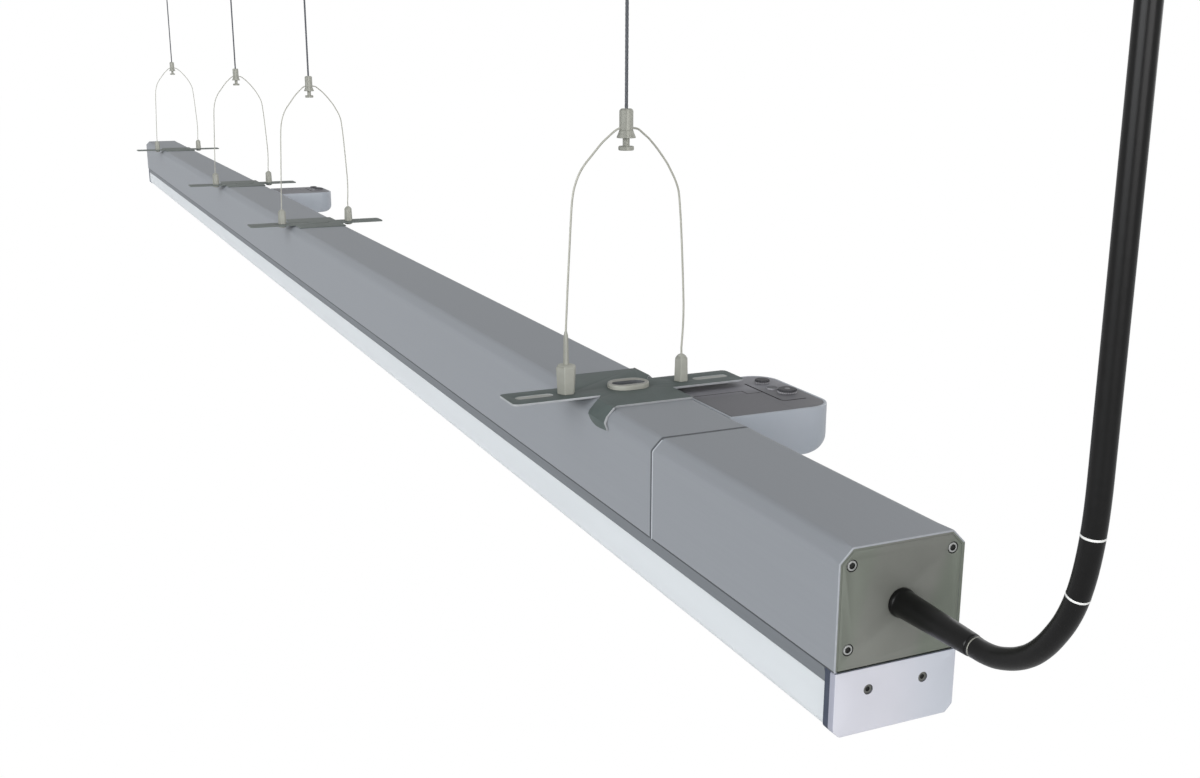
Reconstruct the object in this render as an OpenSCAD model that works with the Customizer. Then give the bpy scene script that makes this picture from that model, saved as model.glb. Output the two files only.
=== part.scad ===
// Hanging shop light: a long chamfered housing in two sections over a lit lower channel,
// hung from the ceiling by four ropes, each with a clamp, a wire yoke and a clip-on bracket.
// Millimetres. X runs along the light towards the cable end, Z is up, and the ceiling is at zero.

/* [Housing] */
// Width of the housing
housing_w = 80; // [74:1:96]
// Height from the top face to the open lower edge
housing_h = 69; // [66:1:90]
// Chamfer along the two top corners
housing_chamfer = 8; // [5:0.5:10]
// Wall of the housing extrusion
housing_wall = 2; // [1.6:0.1:2.4]
// Length of the short section at the cable end
near_l = 215; // [190:5:230]
// Length of the long section
main_l = 2960; // [2700:10:3400]
// Width of the dark seal between the two sections
seal_w = 1; // [0.6:0.1:2]
// How far the seal lies below the outer faces
seal_inset = 0.4; // [0.1:0.1:0.8]

/* [Screw ports] */
// Distance from a side wall's inner face to the axis of a screw port
port_inset = 6; // [5:0.5:8]
// Depth of the upper ports below the top face
port_up = 10; // [9:0.5:14]
// Height of the lower ports above the housing's lower edge
port_low = 12; // [9:0.5:16]
// Outer radius of a port
port_r = 4; // [3.2:0.1:4.4]
// Radius of the hole in a port
port_hole_r = 1.65; // [1.4:0.05:2]

/* [Upper end plates] */
// Thickness of an end plate
plate_t = 3; // [2.6:0.1:4]
// Gap between an end plate and the housing around it
plate_gap = 0.15; // [0.1:0.05:0.3]
// Radius of a plate screw's head
screw_head_r = 2.8; // [2.8:0.1:3.5]
// Thickness of a plate screw's head
screw_head_t = 1.7; // [1.2:0.1:2]
// Radial gap round a plate screw's head
screw_head_gap = 0.6; // [0.2:0.1:0.8]
// Length of a plate screw's shank behind its head
screw_shank_l = 14; // [8:1:20]
// Radius of the socket in a screw head
screw_socket_r = 1.9; // [1.2:0.1:2]
// Depth of the socket in a screw head
screw_socket_depth = 1.1; // [0.6:0.1:1.2]

/* [Light channel] */
// Height of the dark sloping skirt under the housing
skirt_h = 9.6; // [8:0.2:14]
// How far the skirt slopes in on each side
skirt_slope = 2; // [1:0.2:4]
// Thickness of the tray's plate and skirts
tray_t = 2.4; // [2:0.1:3]
// Height of the ribs that locate the tray inside the housing
rib_h = 3; // [2:0.5:5]
// Thickness of the locating ribs
rib_t = 2; // [1.5:0.1:3]
// Height of the diffuser below the skirt
diffuser_h = 28.5; // [22:0.5:40]
// Wall of the diffuser
diffuser_wall = 2; // [1.6:0.1:3]
// Chamfer along the diffuser's lower corners
diffuser_chamfer = 4.5; // [4:0.5:9]
// Height of the diffuser's tongues inside the skirts
tongue_h = 6; // [4:0.5:6.5]
// Number of boards with light sources, end to end
board_count = 4; // [2:1:6]
// Width of a board
board_w = 40; // [24:2:56]
// Thickness of a board
board_t = 1.6; // [1:0.1:2]
// Gap between two boards
board_gap = 4; // [2:1:10]
// Side of one light source
chip_side = 5; // [3:0.5:7]
// Height of one light source
chip_h = 0.8; // [0.5:0.1:1.5]
// Spacing of the light sources along a board
chip_pitch = 98; // [70:2:140]

/* [Lower end caps] */
// Thickness of a lower end cap
cap_t = 4.5; // [3.6:0.1:6]
// Thickness of the gasket behind a cap
gasket_t = 4.8; // [2:0.1:6]
// Thickness of the gasket's lip above a cap
lip_t = 0.6; // [0.4:0.1:1]
// How far a cap lies inside the housing's width on each side
cap_inset = 0.8; // [0:0.1:1.5]
// Distance of a cap screw from the middle
cap_screw_y = 17.7; // [12:0.1:24]
// Depth of the cap screws below the cap's top edge
cap_screw_drop = 12.7; // [8:0.1:18]
// Radius of a cap screw's head
cap_screw_r = 2.8; // [2.2:0.1:3]
// Length of a cap screw's head
cap_screw_head_l = 3; // [2:0.1:3.2]
// Radius of a cap screw's shank
cap_shank_r = 1.5; // [1.2:0.1:1.8]

/* [Supply] */
// Depth of the cable entry below the top face
entry_depth = 35.5; // [28:0.5:38]
// Diameter of the power cable
cable_d = 11; // [8:0.5:13]
// Length of the tapered strain relief, from the end plate to its tip
relief_l = 58; // [40:1:60]
// Radius of the strain relief where it starts
relief_r1 = 7.6; // [7:0.1:9]
// Radius of the strain relief at its tip
relief_r2 = 6; // [5.8:0.1:6.8]
// Radius of the strain relief's flange
relief_flange_r = 8.2; // [8:0.1:11]
// Thickness of the strain relief's flange
relief_flange_t = 3; // [2:0.5:5]
// Radius of the threaded neck through the end plate
neck_r = 6; // [5:0.1:6.8]
// Length of the neck behind the end plate
neck_l = 9; // [7:0.5:14]
// Width across the corners of the nut on the neck
neck_nut_w = 20; // [18:0.5:26]
// Thickness of the nut on the neck
neck_nut_t = 5; // [3:0.5:7]
// Diameter of the inner lead
lead_d = 7; // [5:0.5:9]
// Length of the terminal block
block_l = 60; // [40:2:80]
// Width of the terminal block
block_w = 34; // [26:1:44]
// Height of the terminal block
block_h = 22; // [18:1:26]
// Distance from the near end to the terminal block
block_from_end = 82; // [80:1:100]
// Number of clamps on the terminal block
clamp_count = 5; // [2:1:6]
// Radius of a clamp's screw hole
clamp_r = 2; // [1.5:0.1:2.4]
// Depth of a clamp's screw hole
clamp_depth = 6; // [4:0.5:9]
// Length of one driver
driver_l = 280; // [200:5:340]
// Width of one driver
driver_w = 46; // [36:1:50]
// Height of one driver
driver_h = 30; // [24:1:38]
// Length of a driver's foot
driver_foot_l = 14; // [10:1:20]
// Thickness of a driver's foot
driver_foot_t = 3; // [2:0.5:5]

/* [Hangers] */
// Height of the ceiling above the housing's top face
drop = 400; // [390:5:900]
// Length of a bracket's wing bar across the light
wing_l = 188; // [184:1:220]
// Width of the wing bar
wing_w = 32; // [26:1:36]
// Radius of the wing bar's corners
wing_corner_r = 4; // [2:0.5:8]
// Thickness of the bracket's sheet
sheet_t = 1.6; // [1.5:0.1:3]
// Reach of the bracket's saddle towards the cable end
saddle_front = 47; // [42:1:52]
// Reach of the saddle towards the far end
saddle_back = 50; // [40:1:60]
// Width of the slots in the wings
slot_w = 8; // [6.4:0.1:8.6]
// Distance from a wing's tip to the end of its slot
slot_margin = 7; // [4:0.5:12]
// Distance from a fitting's axis to the inner end of the slot beside it
slot_start = 10.5; // [9:0.5:14]
// Length of a hook ear along the light where it leaves the saddle
ear_l = 30; // [24:1:36]
// Depth of a hook ear below the chamfer
ear_drop = 5; // [3:0.5:10]
// How far a hook ear's tip leans forward past the saddle
ear_lean = 12.5; // [6:0.5:14]
// Gap between a hook ear and the housing
ear_gap = 0.2; // [0.1:0.1:0.5]
// Length of the eyelet's flange across the light
eyelet_l = 32; // [32:1:40]
// Width of the eyelet's flange
eyelet_w = 23; // [20:1:26]
// Length of the eyelet's hole
eyelet_hole_l = 26; // [22:0.5:26]
// Width of the eyelet's hole
eyelet_hole_w = 12.5; // [8:0.5:13]
// Distance of the eyelet from the middle, towards the control boxes
eyelet_out = 3; // [0:0.5:5]
// Wall of the eyelet's barrel
eyelet_wall = 1.5; // [1:0.1:2]
// Height of the eyelet above the bracket
eyelet_h = 3.5; // [2:0.5:5]
// Height of the closed eyelets above the plain brackets
plug_h = 0.6; // [0.5:0.1:2]
// Height of the eyelet's lower flange
eyelet_low = 1.6; // [1:0.1:3]

/* [Yokes] */
// Distance of a wire fitting from the housing's side
fitting_out = 7.3; // [6.5:0.1:10]
// Radius of a front fitting at its foot, over its corners
front_foot_r = 6.9; // [6:0.1:9]
// Radius of a front fitting at its shoulder
front_top_r = 7.9; // [6:0.1:9]
// Height of a front fitting from the wing to its shoulder
front_h = 20; // [12:0.5:24]
// Radius of a rear fitting at its foot, over its corners
rear_foot_r = 5.8; // [5:0.1:8]
// Radius of a rear fitting at its shoulder
rear_top_r = 5.3; // [4:0.1:6]
// Height of a rear fitting from the wing to its shoulder
rear_h = 17.5; // [12:0.5:24]
// Height of the bevel on a front fitting
front_bevel_h = 1.5; // [1:0.1:4]
// Height of the cone on a rear fitting
rear_cone_h = 3; // [2:0.1:6]
// Radius of a front fitting where its bevel ends
front_tip_r = 5.8; // [4:0.1:6]
// Radius of a rear fitting where its bevel ends
rear_tip_r = 2; // [1.6:0.1:3]
// Radius of a front fitting's sleeve at its foot
sleeve_r = 2.1; // [2:0.1:3.6]
// Height of the sleeve above the bevel
sleeve_h = 24.5; // [10:0.5:30]
// Radius of the sleeve at its top
sleeve_top_r = 1.8; // [1.3:0.1:2]
// Depth of the socket for the wire in a fitting
wire_socket = 4; // [3:0.5:6]
// Radius of a fitting's threaded shank
shank_r = 3; // [2.5:0.1:3.1]
// Thickness of the nut under a wing
wing_nut_t = 3; // [2:0.1:3.4]
// Width of the nut over its corners
wing_nut_w = 11; // [9:0.5:13]
// Diameter of the yoke wire
wire_d = 1.5; // [0.8:0.1:1.6]
// Radial clearance of a wire in its sockets
wire_clear = 0.2; // [0.1:0.05:0.3]
// Height at which the wires enter the clamp, above the housing
wire_z = 191; // [150:1:240]

/* [Rope clamps] */
// Diameter of the rope
rope_d = 2.6; // [2:0.1:3.4]
// Radial clearance of the rope in its bores
rope_clear = 0.1; // [0.05:0.01:0.2]
// Radius of the clamp's barrel
barrel_r = 5; // [5:0.1:7]
// Height of the barrel
barrel_h = 15; // [12:0.5:22]
// Chamfer round the barrel's top
barrel_chamfer = 1.2; // [0.5:0.1:2]
// Depth of the barrel's foot below the wires
barrel_below = 1.3; // [1:0.1:3]
// Height of the flared collar
collar_h = 5.5; // [4:0.5:8]
// Largest radius of the collar
collar_r = 6.9; // [6.5:0.1:10]
// Radius of the neck inside the collar
collar_neck_r = 4.3; // [4:0.1:4.8]
// Radius of the release plunger's stem
stem_r = 2.5; // [2.3:0.1:2.8]
// Radial clearance of the stem in the barrel
stem_clear = 0.08; // [0.05:0.01:0.1]
// Radius of the release plunger's disc
disc_r = 5.6; // [5:0.1:8]
// Thickness of the disc
disc_t = 3; // [2:0.1:5]
// Gap between the collar and the disc at rest
disc_gap = 5.7; // [4:0.1:8]
// Travel of the release plunger
plunger_travel = 3; // [2:0.5:3.5]
// Length of the stem inside the barrel
stem_in = 9; // [6:0.5:11]
// Depth of a wire's socket in the barrel
barrel_socket = 1.8; // [1:0.1:2]

/* [Control boxes] */
// Length of a box along the light
box_l = 102; // [96:1:130]
// Reach of a box from the housing's side
box_reach = 89.5; // [86:0.5:110]
// Height of a box with its cover
box_h = 34.5; // [30:0.5:48]
// Depth of a box's top below the housing's top face
box_down = 4.5; // [4:0.5:12]
// Radius of a box's corners, seen from above
box_corner_r = 20; // [12:1:22]
// Radius of a box's lower outer edge
box_edge_r = 11; // [6:1:13]
// Wall of a box's shell
box_wall = 2.4; // [1.8:0.1:2.8]
// Thickness of a box's cover
cover_t = 2.5; // [2.2:0.1:3]
// Length of the access lid along the light
lid_l = 58; // [40:1:62]
// Width of the access lid
lid_w = 50; // [36:1:52]
// Thickness of the access lid
lid_t = 1.2; // [0.8:0.1:1.3]
// Margin between the lid and the cover's edges
lid_margin = 4; // [3.5:0.5:8]
// How far the lid lies below the cover's face
lid_sink = 0.2; // [0.2:0.1:0.6]
// Gap round the access lid
lid_gap = 0.2; // [0.2:0.1:0.6]
// Width of the groove that frames the controls
groove_w = 1.6; // [0.8:0.1:2]
// Depth of the groove
groove_depth = 0.8; // [0.3:0.1:1]
// Distance of the groove from the housing's side
groove_out = 57.5; // [56:0.5:60]
// Distance of the groove's near leg from the box's near face
groove_from_face = 24; // [20:0.5:26]
// Length of the groove along the light
groove_l = 56; // [50:1:60]
// Length of the groove's leg across the light
groove_leg_l = 21; // [12:1:26]

/* [Controls] */
// Radius of the small dial
small_r = 5.8; // [5:0.1:6]
// Radius of the large dial
large_r = 7.3; // [6:0.1:7.6]
// Radius of the button
button_r = 4.5; // [3.5:0.1:4.8]
// Height of a dial above its gap
dial_h = 3; // [1:0.1:4]
// Gap between a dial and the cover
dial_gap = 0.2; // [0.15:0.05:0.4]
// Radius of the scallops round a dial
scallop_r = 0.55; // [0.3:0.05:0.7]
// Number of scallops round a dial
scallop_count = 16; // [8:1:20]
// Radius of a dial's spindle
spindle_r = 1.5; // [1.2:0.1:2]
// Radial clearance of spindles and of the button
control_clear = 0.08; // [0.05:0.01:0.1]
// Length of a dial's spindle below the cover's top
spindle_l = 12; // [10:0.5:14]
// Depth of the socket that the spindle turns in
encoder_depth = 4; // [3:0.5:5]
// Side of a control's body on the board
encoder_side = 9; // [8:0.5:9.5]
// Height of a control's body on the board
encoder_h = 5; // [4.5:0.5:6]
// Travel of the button
button_travel = 1; // [0.6:0.1:1.4]
// Height of the button above the cover
button_h = 1.3; // [1.2:0.1:2]
// Thickness of the button's retaining flange
button_flange_t = 1; // [0.8:0.1:1.5]
// How far the button's flange reaches past its side
button_flange = 0.9; // [0.6:0.1:1.2]

/* [Ceiling fittings] */
// Radius of a ceiling cup
cup_r = 10; // [8:0.5:14]
// Height of a cup's base
cup_base_h = 12; // [10:0.5:16]
// Radius of the threaded hole in a cup's base
cup_thread_r = 2.5; // [2:0.1:3]
// Depth of the threaded hole
cup_thread_l = 8; // [5:0.5:9]
// Height of a cup's cap
cup_cap_h = 14; // [12:0.5:18]
// Radius of a cup's cap at its foot
cup_foot_r = 5; // [4:0.5:7]
// Radius of the room inside a cup's cap
cup_room_r = 4.6; // [4:0.1:6]
// Depth of the room inside a cup's cap
cup_room_h = 8; // [6:0.5:9]
// Radius of the barrel on the rope's end
rope_end_r = 3.6; // [3:0.1:3.8]
// Radius of the ceiling rose
rose_r = 40; // [34:1:60]
// Height of the rose with its base
rose_h = 26; // [22:1:40]
// Wall of the rose's cover
rose_wall = 2; // [1.6:0.1:3]
// Thickness of the rose's base
rose_base_t = 4; // [3:0.5:6]
// Radius of the supply hole in the rose's base
rose_hole_r = 9; // [6:0.5:11]
// Spacing of the two screw holes in the rose's base
rose_screw_pitch = 50; // [40:1:56]
// Radius of a screw hole in the rose's base
rose_screw_r = 2.25; // [1.8:0.05:2.8]
// Radius of the cord grip under the rose
grip_r = 9; // [8:0.5:12]
// Height of the cord grip below the rose
grip_h = 16; // [12:1:22]
// Radius of the cord grip's neck through the rose
grip_neck_r = 6; // [5:0.1:7]

/* [Hidden] */

// Places along the long section, as shares of its length from the joint
hanger_place_shares = [0.0424, 0.391, 0.5923, 0.8916];
box_place_shares = [0.0297, 0.558];
driver_place_shares = [0.142, 0.678];

// Yoke wires, from the clamp to the fitting: shares of the way out, and of the height
front_out_shares = [0, 0.05, 0.13, 0.25, 0.35, 0.445, 0.55, 0.66, 0.755, 0.825, 0.865, 0.89, 0.91, 0.935,
    0.96, 0.985, 1, 1];
front_up_shares = [1, 1, 0.988, 0.96, 0.935, 0.905, 0.87, 0.833, 0.79, 0.74, 0.693, 0.63, 0.535, 0.4,
    0.27, 0.12, 0.03, 0];
rear_out_shares = [0, 0.05, 0.142, 0.22, 0.33, 0.42, 0.509, 0.6, 0.68, 0.745, 0.81, 0.869, 0.9, 0.917,
    0.945, 0.97, 1, 1.025, 1.02, 1, 1, 1];
rear_up_shares = [1, 1, 0.995, 0.98, 0.957, 0.933, 0.907, 0.877, 0.849, 0.82, 0.79, 0.755, 0.725, 0.69,
    0.61, 0.516, 0.38, 0.239, 0.14, 0.06, 0.03, 0];

// Hook ear seen from the side: shares of its length forward, and of its depth down
ear_shares = [[0.25, -0.2], [0.27, 0.2], [0.28, 0.42], [0.36, 0.6], [0.46, 0.78], [0.6, 0.92],
    [0.78, 1], [1, 1]];
// Front edge of the ear, from its tip up: shares of the lean forward, and of the depth down
ear_front_shares = [[1, 0.92], [0.93, 0.85], [0.37, 0.33], [0.33, -0.2]];
// Step of the front edge on the flat sheet, as a share of the lean
ear_step_share = 0.33;

// Route of the power cable past the end plate: out along the light, and up from the top face
cable_route = [[58, -35.5], [66, -35.5], [74, -34.4], [82, -31.8], [90, -28], [98, -22.5],
    [105, -15.5], [111, -7.5], [116.5, 1.5], [121, 12], [124.3, 24], [126.5, 37], [127.8, 50],
    [128.4, 64], [128.5, 80], [128.5, 110], [128.5, 150], [128.5, 200], [128.5, 250],
    [128.5, 300], [128.5, 358]];
// Route of the inner lead, from the nut to the terminal block: in from the end, and up
lead_route = [[12, -35.5], [20, -35.5], [30, -36.5], [40, -39.5], [50, -44], [60, -49],
    [70, -53], [76, -54.5], [82, -55]];

// Facets and overruns
fn_round = 48;
fn_small = 24;
wire_sides = 6;
rope_sides = 8;
cable_sides = 12;
over = 0.5;
hex = 6;
quarter_turn = 90;
edge_turn = 30;

// Working sizes
light_l = near_l + seal_w + main_l;
near_x = light_l / 2;
far_x = -light_l / 2;
joint_x = far_x + main_l;
half_w = housing_w / 2;
inner_half_w = half_w - housing_wall;
inner_chamfer = housing_chamfer - housing_wall * (2 - sqrt(2));
port_y = inner_half_w - port_inset;
port_zs = [-port_up, port_low - housing_h];
web_t = port_r;
tray_inset = cap_t + gasket_t;
tray_l = light_l - 2 * tray_inset;
skirt_z = -housing_h - skirt_h;
diffuser_z = skirt_z - diffuser_h;
diffuser_half_w = half_w - skirt_slope;
skirt_inner = diffuser_half_w - tray_t;
tongue_out = skirt_inner - plate_gap;
cap_top = -housing_h - lip_t;
cap_low = diffuser_z - plate_gap;
cap_screw_z = cap_top - cap_screw_drop;
board_l = (tray_l - (board_count + 1) * board_gap) / board_count;
chips = floor(board_l / chip_pitch);
board_z = -housing_h - tray_t - board_t;
clamp_pitch = block_w / (clamp_count + 1);
fitting_y = half_w + fitting_out;
wire_r = wire_d / 2;
wire_bore_r = wire_r + wire_clear;
front_tip = sheet_t + front_h + front_bevel_h + sleeve_h;
rear_tip = sheet_t + rear_h + rear_cone_h;
barrel_foot = wire_z - barrel_below;
barrel_top = barrel_foot + barrel_h;
collar_foot = barrel_foot - collar_h;
disc_top = collar_foot - disc_gap;
stem_top = collar_foot + stem_in;
cavity_top = stem_top + plunger_travel + over;
rope_r = rope_d / 2;
rope_bore_r = rope_r + rope_clear;
rope_foot = disc_top - disc_t / 2;
rope_top = drop - cup_base_h - cup_room_h;
slot_end = wing_l / 2 - slot_margin;
eyelet_barrel_w = eyelet_hole_w + 2 * eyelet_wall;
eyelet_straight = eyelet_hole_l - eyelet_hole_w;
ear_depth = housing_chamfer + ear_drop;
box_top = -box_down;
box_rim = box_top - cover_t;
box_floor = box_top - box_h;
lid_back = lid_margin + lid_l;
encoder_top = box_top - spindle_l + encoder_depth;
pcb_z = encoder_top - encoder_h - board_t;
pcb_l = 80;
pcb_w = 40;
pcb_margin = 6;
pcb_clear = 1.1;
post_r = 3;
box_screw_r = 2;
box_screw_head_r = 3.5;
box_screw_head_t = 2.5;
box_screw_l = 6;
box_screw_pitch = 60;
box_wire_hole_r = 6;
box_middle = box_top - box_h * 0.6;
splice_l = 60;
splice_h = 26;
splice_t = 2;
// Controls of a box: distance from its near face, and from the housing's side
small_at = [77, 72];
button_at = [59, 70.2];
large_at = [44.7, 74.4];
cable_x = near_x + cable_route[len(cable_route) - 1][0];

// A point between two values
function between(a, b, share) = a + (b - a) * share;

// Chamfered outline across the light, with its top face at zero
function chamfered(half, height, chamfer) = [[-half, -height], [half, -height], [half, -chamfer],
    [half - chamfer, 0], [chamfer - half, 0], [-half, -chamfer]];

// Outline with chamfered lower corners, from a top level to a low level
function keel(half, top, low, chamfer) = [[-half, top], [half, top], [half, low + chamfer],
    [half - chamfer, low], [chamfer - half, low], [-half, low + chamfer]];

// The other half of an outline, followed from its end back to its start
function mirrored(half) = [for (i = [len(half) - 1 : -1 : 0]) [-half[i][0], half[i][1]]];

// A smooth curve through points: one step between two of them
function step(a, b, c, d, t) = 0.5 * (2 * b + (c - a) * t + (2 * a - 5 * b + 4 * c - d) * t * t
    + (3 * b - a - 3 * c + d) * t * t * t);
function near_point(pts, i) = pts[max(0, min(len(pts) - 1, i))];
function smooth(pts, n) = [for (i = [0 : len(pts) - 2]) for (k = [0 : n - 1])
    step(near_point(pts, i - 1), pts[i], pts[i + 1], near_point(pts, i + 2), k / n),
    pts[len(pts) - 1]];

// Direction of a path at one of its points
function heading(path, i) = let (d = near_point(path, i + 1) - near_point(path, i - 1)) d / norm(d);

// Closed tube along a path that lies in the plane square to the unit vector side
module tube(path, r, sides, side) {
    rings = len(path);
    points = [for (i = [0 : rings - 1]) for (j = [0 : sides - 1])
        path[i] + r * (cos(360 * j / sides) * side + sin(360 * j / sides) * cross(heading(path, i), side))];
    walls = [for (i = [0 : rings - 2]) for (j = [0 : sides - 1])
        [i * sides + j, (i + 1) * sides + j, (i + 1) * sides + (j + 1) % sides, i * sides + (j + 1) % sides]];
    foot = [[for (j = [0 : sides - 1]) j]];
    head = [[for (j = [sides - 1 : -1 : 0]) (rings - 1) * sides + j]];
    polyhedron(points = points, faces = concat(foot, walls, head));
}

// Moves shapes made with the housing's top face at zero to their height under the ceiling
module at_top() {
    translate([0, 0, -drop]) children();
}

// Extrudes an outline across the light from one place along it to another
module along(from, to) {
    at_top() translate([from, 0, 0]) rotate([quarter_turn, 0, quarter_turn]) linear_extrude(to - from) children();
}

// Places shapes at each hanger, with zero at the middle of its bracket
module at_hangers(first = 0, last = 3) {
    for (i = [first : last]) translate([joint_x - main_l * hanger_place_shares[i], 0, -drop]) children();
}

// Places shapes at each control box, with zero at the outer edge of its near face
module at_boxes(first = 0, last = 1) {
    for (i = [first : last])
        translate([joint_x - main_l * box_place_shares[i] + box_l / 2, half_w, -drop]) children();
}

// Slot-shaped outline with round ends, along Y
module obround(straight, width) {
    square([width, straight], center = true);
    for (s = [-1, 1]) translate([0, s * straight / 2]) circle(d = width, $fn = fn_round);
}

// Hexagonal prism with a corner towards the front, tapering from one radius to another
module hex_taper(foot_r, top_r, height) {
    rotate([0, 0, edge_turn]) cylinder(r1 = foot_r, r2 = top_r, h = height, $fn = hex);
}

// Housing wall outline
module housing_outline() {
    difference() {
        polygon(chamfered(half_w, housing_h, housing_chamfer));
        translate([0, -housing_wall]) polygon(chamfered(inner_half_w, housing_h, inner_chamfer));
    }
}

// Four screw ports and their webs to the side walls
module ports_outline() {
    for (s = [-1, 1]) for (z = port_zs) difference() {
        union() {
            translate([s * port_y, z]) circle(r = port_r, $fn = fn_round);
            translate([s * (port_y + inner_half_w + over) / 2, z])
                square([port_inset + over, web_t], center = true);
        }
        translate([s * port_y, z]) circle(r = port_hole_r, $fn = fn_small);
    }
}

// Screw holes and wire hole of a box, through the housing's side and the box's back wall
module box_holes() {
    for (s = [-1, 1]) translate([s * box_screw_pitch / 2 - box_l / 2, 0, box_middle])
        rotate([quarter_turn, 0, 0])
            cylinder(r = box_screw_r + rope_clear, h = 4 * box_wall, center = true, $fn = fn_small);
    translate([-box_l / 2, 0, box_middle]) rotate([quarter_turn, 0, 0])
        cylinder(r = box_wire_hole_r, h = 4 * box_wall, center = true, $fn = fn_round);
}

module housing_near() {
    color([0.55, 0.57, 0.6]) union() {
        along(near_x - near_l, near_x) housing_outline();
        along(near_x - near_l, near_x - plate_t) ports_outline();
    }
}

module housing_main() {
    color([0.55, 0.57, 0.6]) difference() {
        union() {
            along(far_x, joint_x) housing_outline();
            along(far_x + plate_t, joint_x) ports_outline();
        }
        at_hangers() translate([0, eyelet_out, -2 * housing_wall]) linear_extrude(4 * housing_wall)
            obround(eyelet_straight, eyelet_barrel_w + 2 * plate_gap);
        at_boxes() box_holes();
    }
}

// Dark seal between the sections, a little inside the outer faces
module joint_seal() {
    color([0.25, 0.26, 0.28]) along(joint_x, near_x - near_l) difference() {
        translate([0, -seal_inset])
            polygon(chamfered(half_w - seal_inset, housing_h - seal_inset, housing_chamfer));
        translate([0, -housing_wall]) polygon(chamfered(inner_half_w, housing_h, inner_chamfer));
    }
}

// Flat bars inside the side walls that keep the two sections in line
module joint_splices() {
    color([0.72, 0.73, 0.74]) at_top()
        for (s = [-1, 1]) translate([near_x - near_l - seal_w / 2, s * (inner_half_w - splice_t / 2),
            (port_zs[0] + port_zs[1]) / 2])
            cube([splice_l, splice_t, splice_h], center = true);
}

// Lower tray: plate under the housing, sloping skirts and locating ribs
module light_tray() {
    rib_out = inner_half_w - plate_gap;
    half = [[rib_out - rib_t, -housing_h], [rib_out - rib_t, rib_h - housing_h], [rib_out, rib_h - housing_h],
        [rib_out, -housing_h], [half_w, -housing_h], [diffuser_half_w, skirt_z],
        [skirt_inner, skirt_z], [skirt_inner, -housing_h - tray_t]];
    color([0.44, 0.46, 0.48]) along(far_x + tray_inset, near_x - tray_inset)
        polygon(concat(half, mirrored(half)));
}

// Milky channel under the skirts, with tongues that clip inside them
module diffuser() {
    tongue_in = tongue_out - diffuser_wall;
    room = diffuser_half_w - diffuser_wall;
    bevel = diffuser_chamfer - diffuser_wall * (2 - sqrt(2));
    low = diffuser_z + diffuser_wall;
    outside = [[tongue_in, skirt_z + tongue_h], [tongue_out, skirt_z + tongue_h], [tongue_out, skirt_z],
        [diffuser_half_w, skirt_z], [diffuser_half_w, diffuser_z + diffuser_chamfer],
        [diffuser_half_w - diffuser_chamfer, diffuser_z]];
    inside = [[room - bevel, low], [room, low + bevel], [room, skirt_z - diffuser_wall],
        [tongue_in, skirt_z - diffuser_wall]];
    color([0.92, 0.95, 0.96]) along(far_x + tray_inset, near_x - tray_inset)
        polygon(concat(outside, mirrored(outside), mirrored(inside), inside));
}

// Plate that closes the housing, set inside its mouth, its outer face at zero
module end_plate() {
    gap_half = inner_half_w - plate_gap;
    difference() {
        rotate([quarter_turn, 0, quarter_turn]) translate([0, 0, -plate_t]) linear_extrude(plate_t)
            translate([0, -housing_wall - plate_gap])
                polygon(chamfered(gap_half, housing_h - housing_wall - plate_gap, inner_chamfer));
        at_ports() {
            translate([0, 0, -plate_t - over])
                cylinder(r = port_hole_r + plate_gap, h = plate_t + 2 * over, $fn = fn_small);
            translate([0, 0, -screw_head_t])
                cylinder(r = screw_head_r + screw_head_gap, h = screw_head_t + over, $fn = fn_round);
        }
    }
}

// Places shapes at the four screws of an end plate, with Z out of the plate
module at_ports() {
    for (s = [-1, 1]) for (z = port_zs) translate([0, s * port_y, z]) rotate([0, quarter_turn, 0]) children();
}

module end_plate_near() {
    color([0.44, 0.46, 0.42]) difference() {
        at_top() translate([near_x, 0, 0]) end_plate();
        at_top() translate([near_x, 0, -entry_depth]) rotate([0, quarter_turn, 0])
            cylinder(r = neck_r + plate_gap, h = 4 * plate_t, center = true, $fn = fn_round);
    }
}

module end_plate_far() {
    color([0.44, 0.46, 0.42]) at_top() translate([far_x, 0, 0]) mirror([1, 0, 0]) end_plate();
}

// Socket-head screw with its shank, its head's outer face at zero
module plate_screw() {
    difference() {
        union() {
            translate([0, 0, -screw_head_t]) cylinder(r = screw_head_r, h = screw_head_t, $fn = fn_round);
            translate([0, 0, -screw_head_t - screw_shank_l])
                cylinder(r = port_hole_r - control_clear, h = screw_shank_l + over, $fn = fn_small);
        }
        translate([0, 0, -screw_socket_depth])
            cylinder(r = screw_socket_r, h = screw_socket_depth + over, $fn = hex);
    }
}

module end_plate_screws() {
    color([0.72, 0.72, 0.7]) at_top() {
        translate([near_x, 0, 0]) at_ports() plate_screw();
        translate([far_x, 0, 0]) mirror([1, 0, 0]) at_ports() plate_screw();
    }
}

// Places shapes at the two screws of a lower cap, with Z out of the cap
module at_cap_screws() {
    for (s = [-1, 1]) translate([0, s * cap_screw_y, cap_screw_z]) rotate([0, quarter_turn, 0]) children();
}

// Lower end cap, its outer face at zero
module end_cap() {
    difference() {
        rotate([quarter_turn, 0, quarter_turn]) translate([0, 0, -cap_t]) linear_extrude(cap_t)
            polygon(keel(half_w - cap_inset, cap_top, cap_low, diffuser_chamfer));
        at_cap_screws() {
            translate([0, 0, -cap_t - over])
                cylinder(r = cap_shank_r + plate_gap, h = cap_t + 2 * over, $fn = fn_small);
            translate([0, 0, -cap_screw_head_l])
                cylinder(r = cap_screw_r + plate_gap, h = cap_screw_head_l + over, $fn = fn_small);
        }
    }
}

module end_cap_near() {
    color([0.82, 0.83, 0.87]) at_top() translate([near_x, 0, 0]) end_cap();
}

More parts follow.
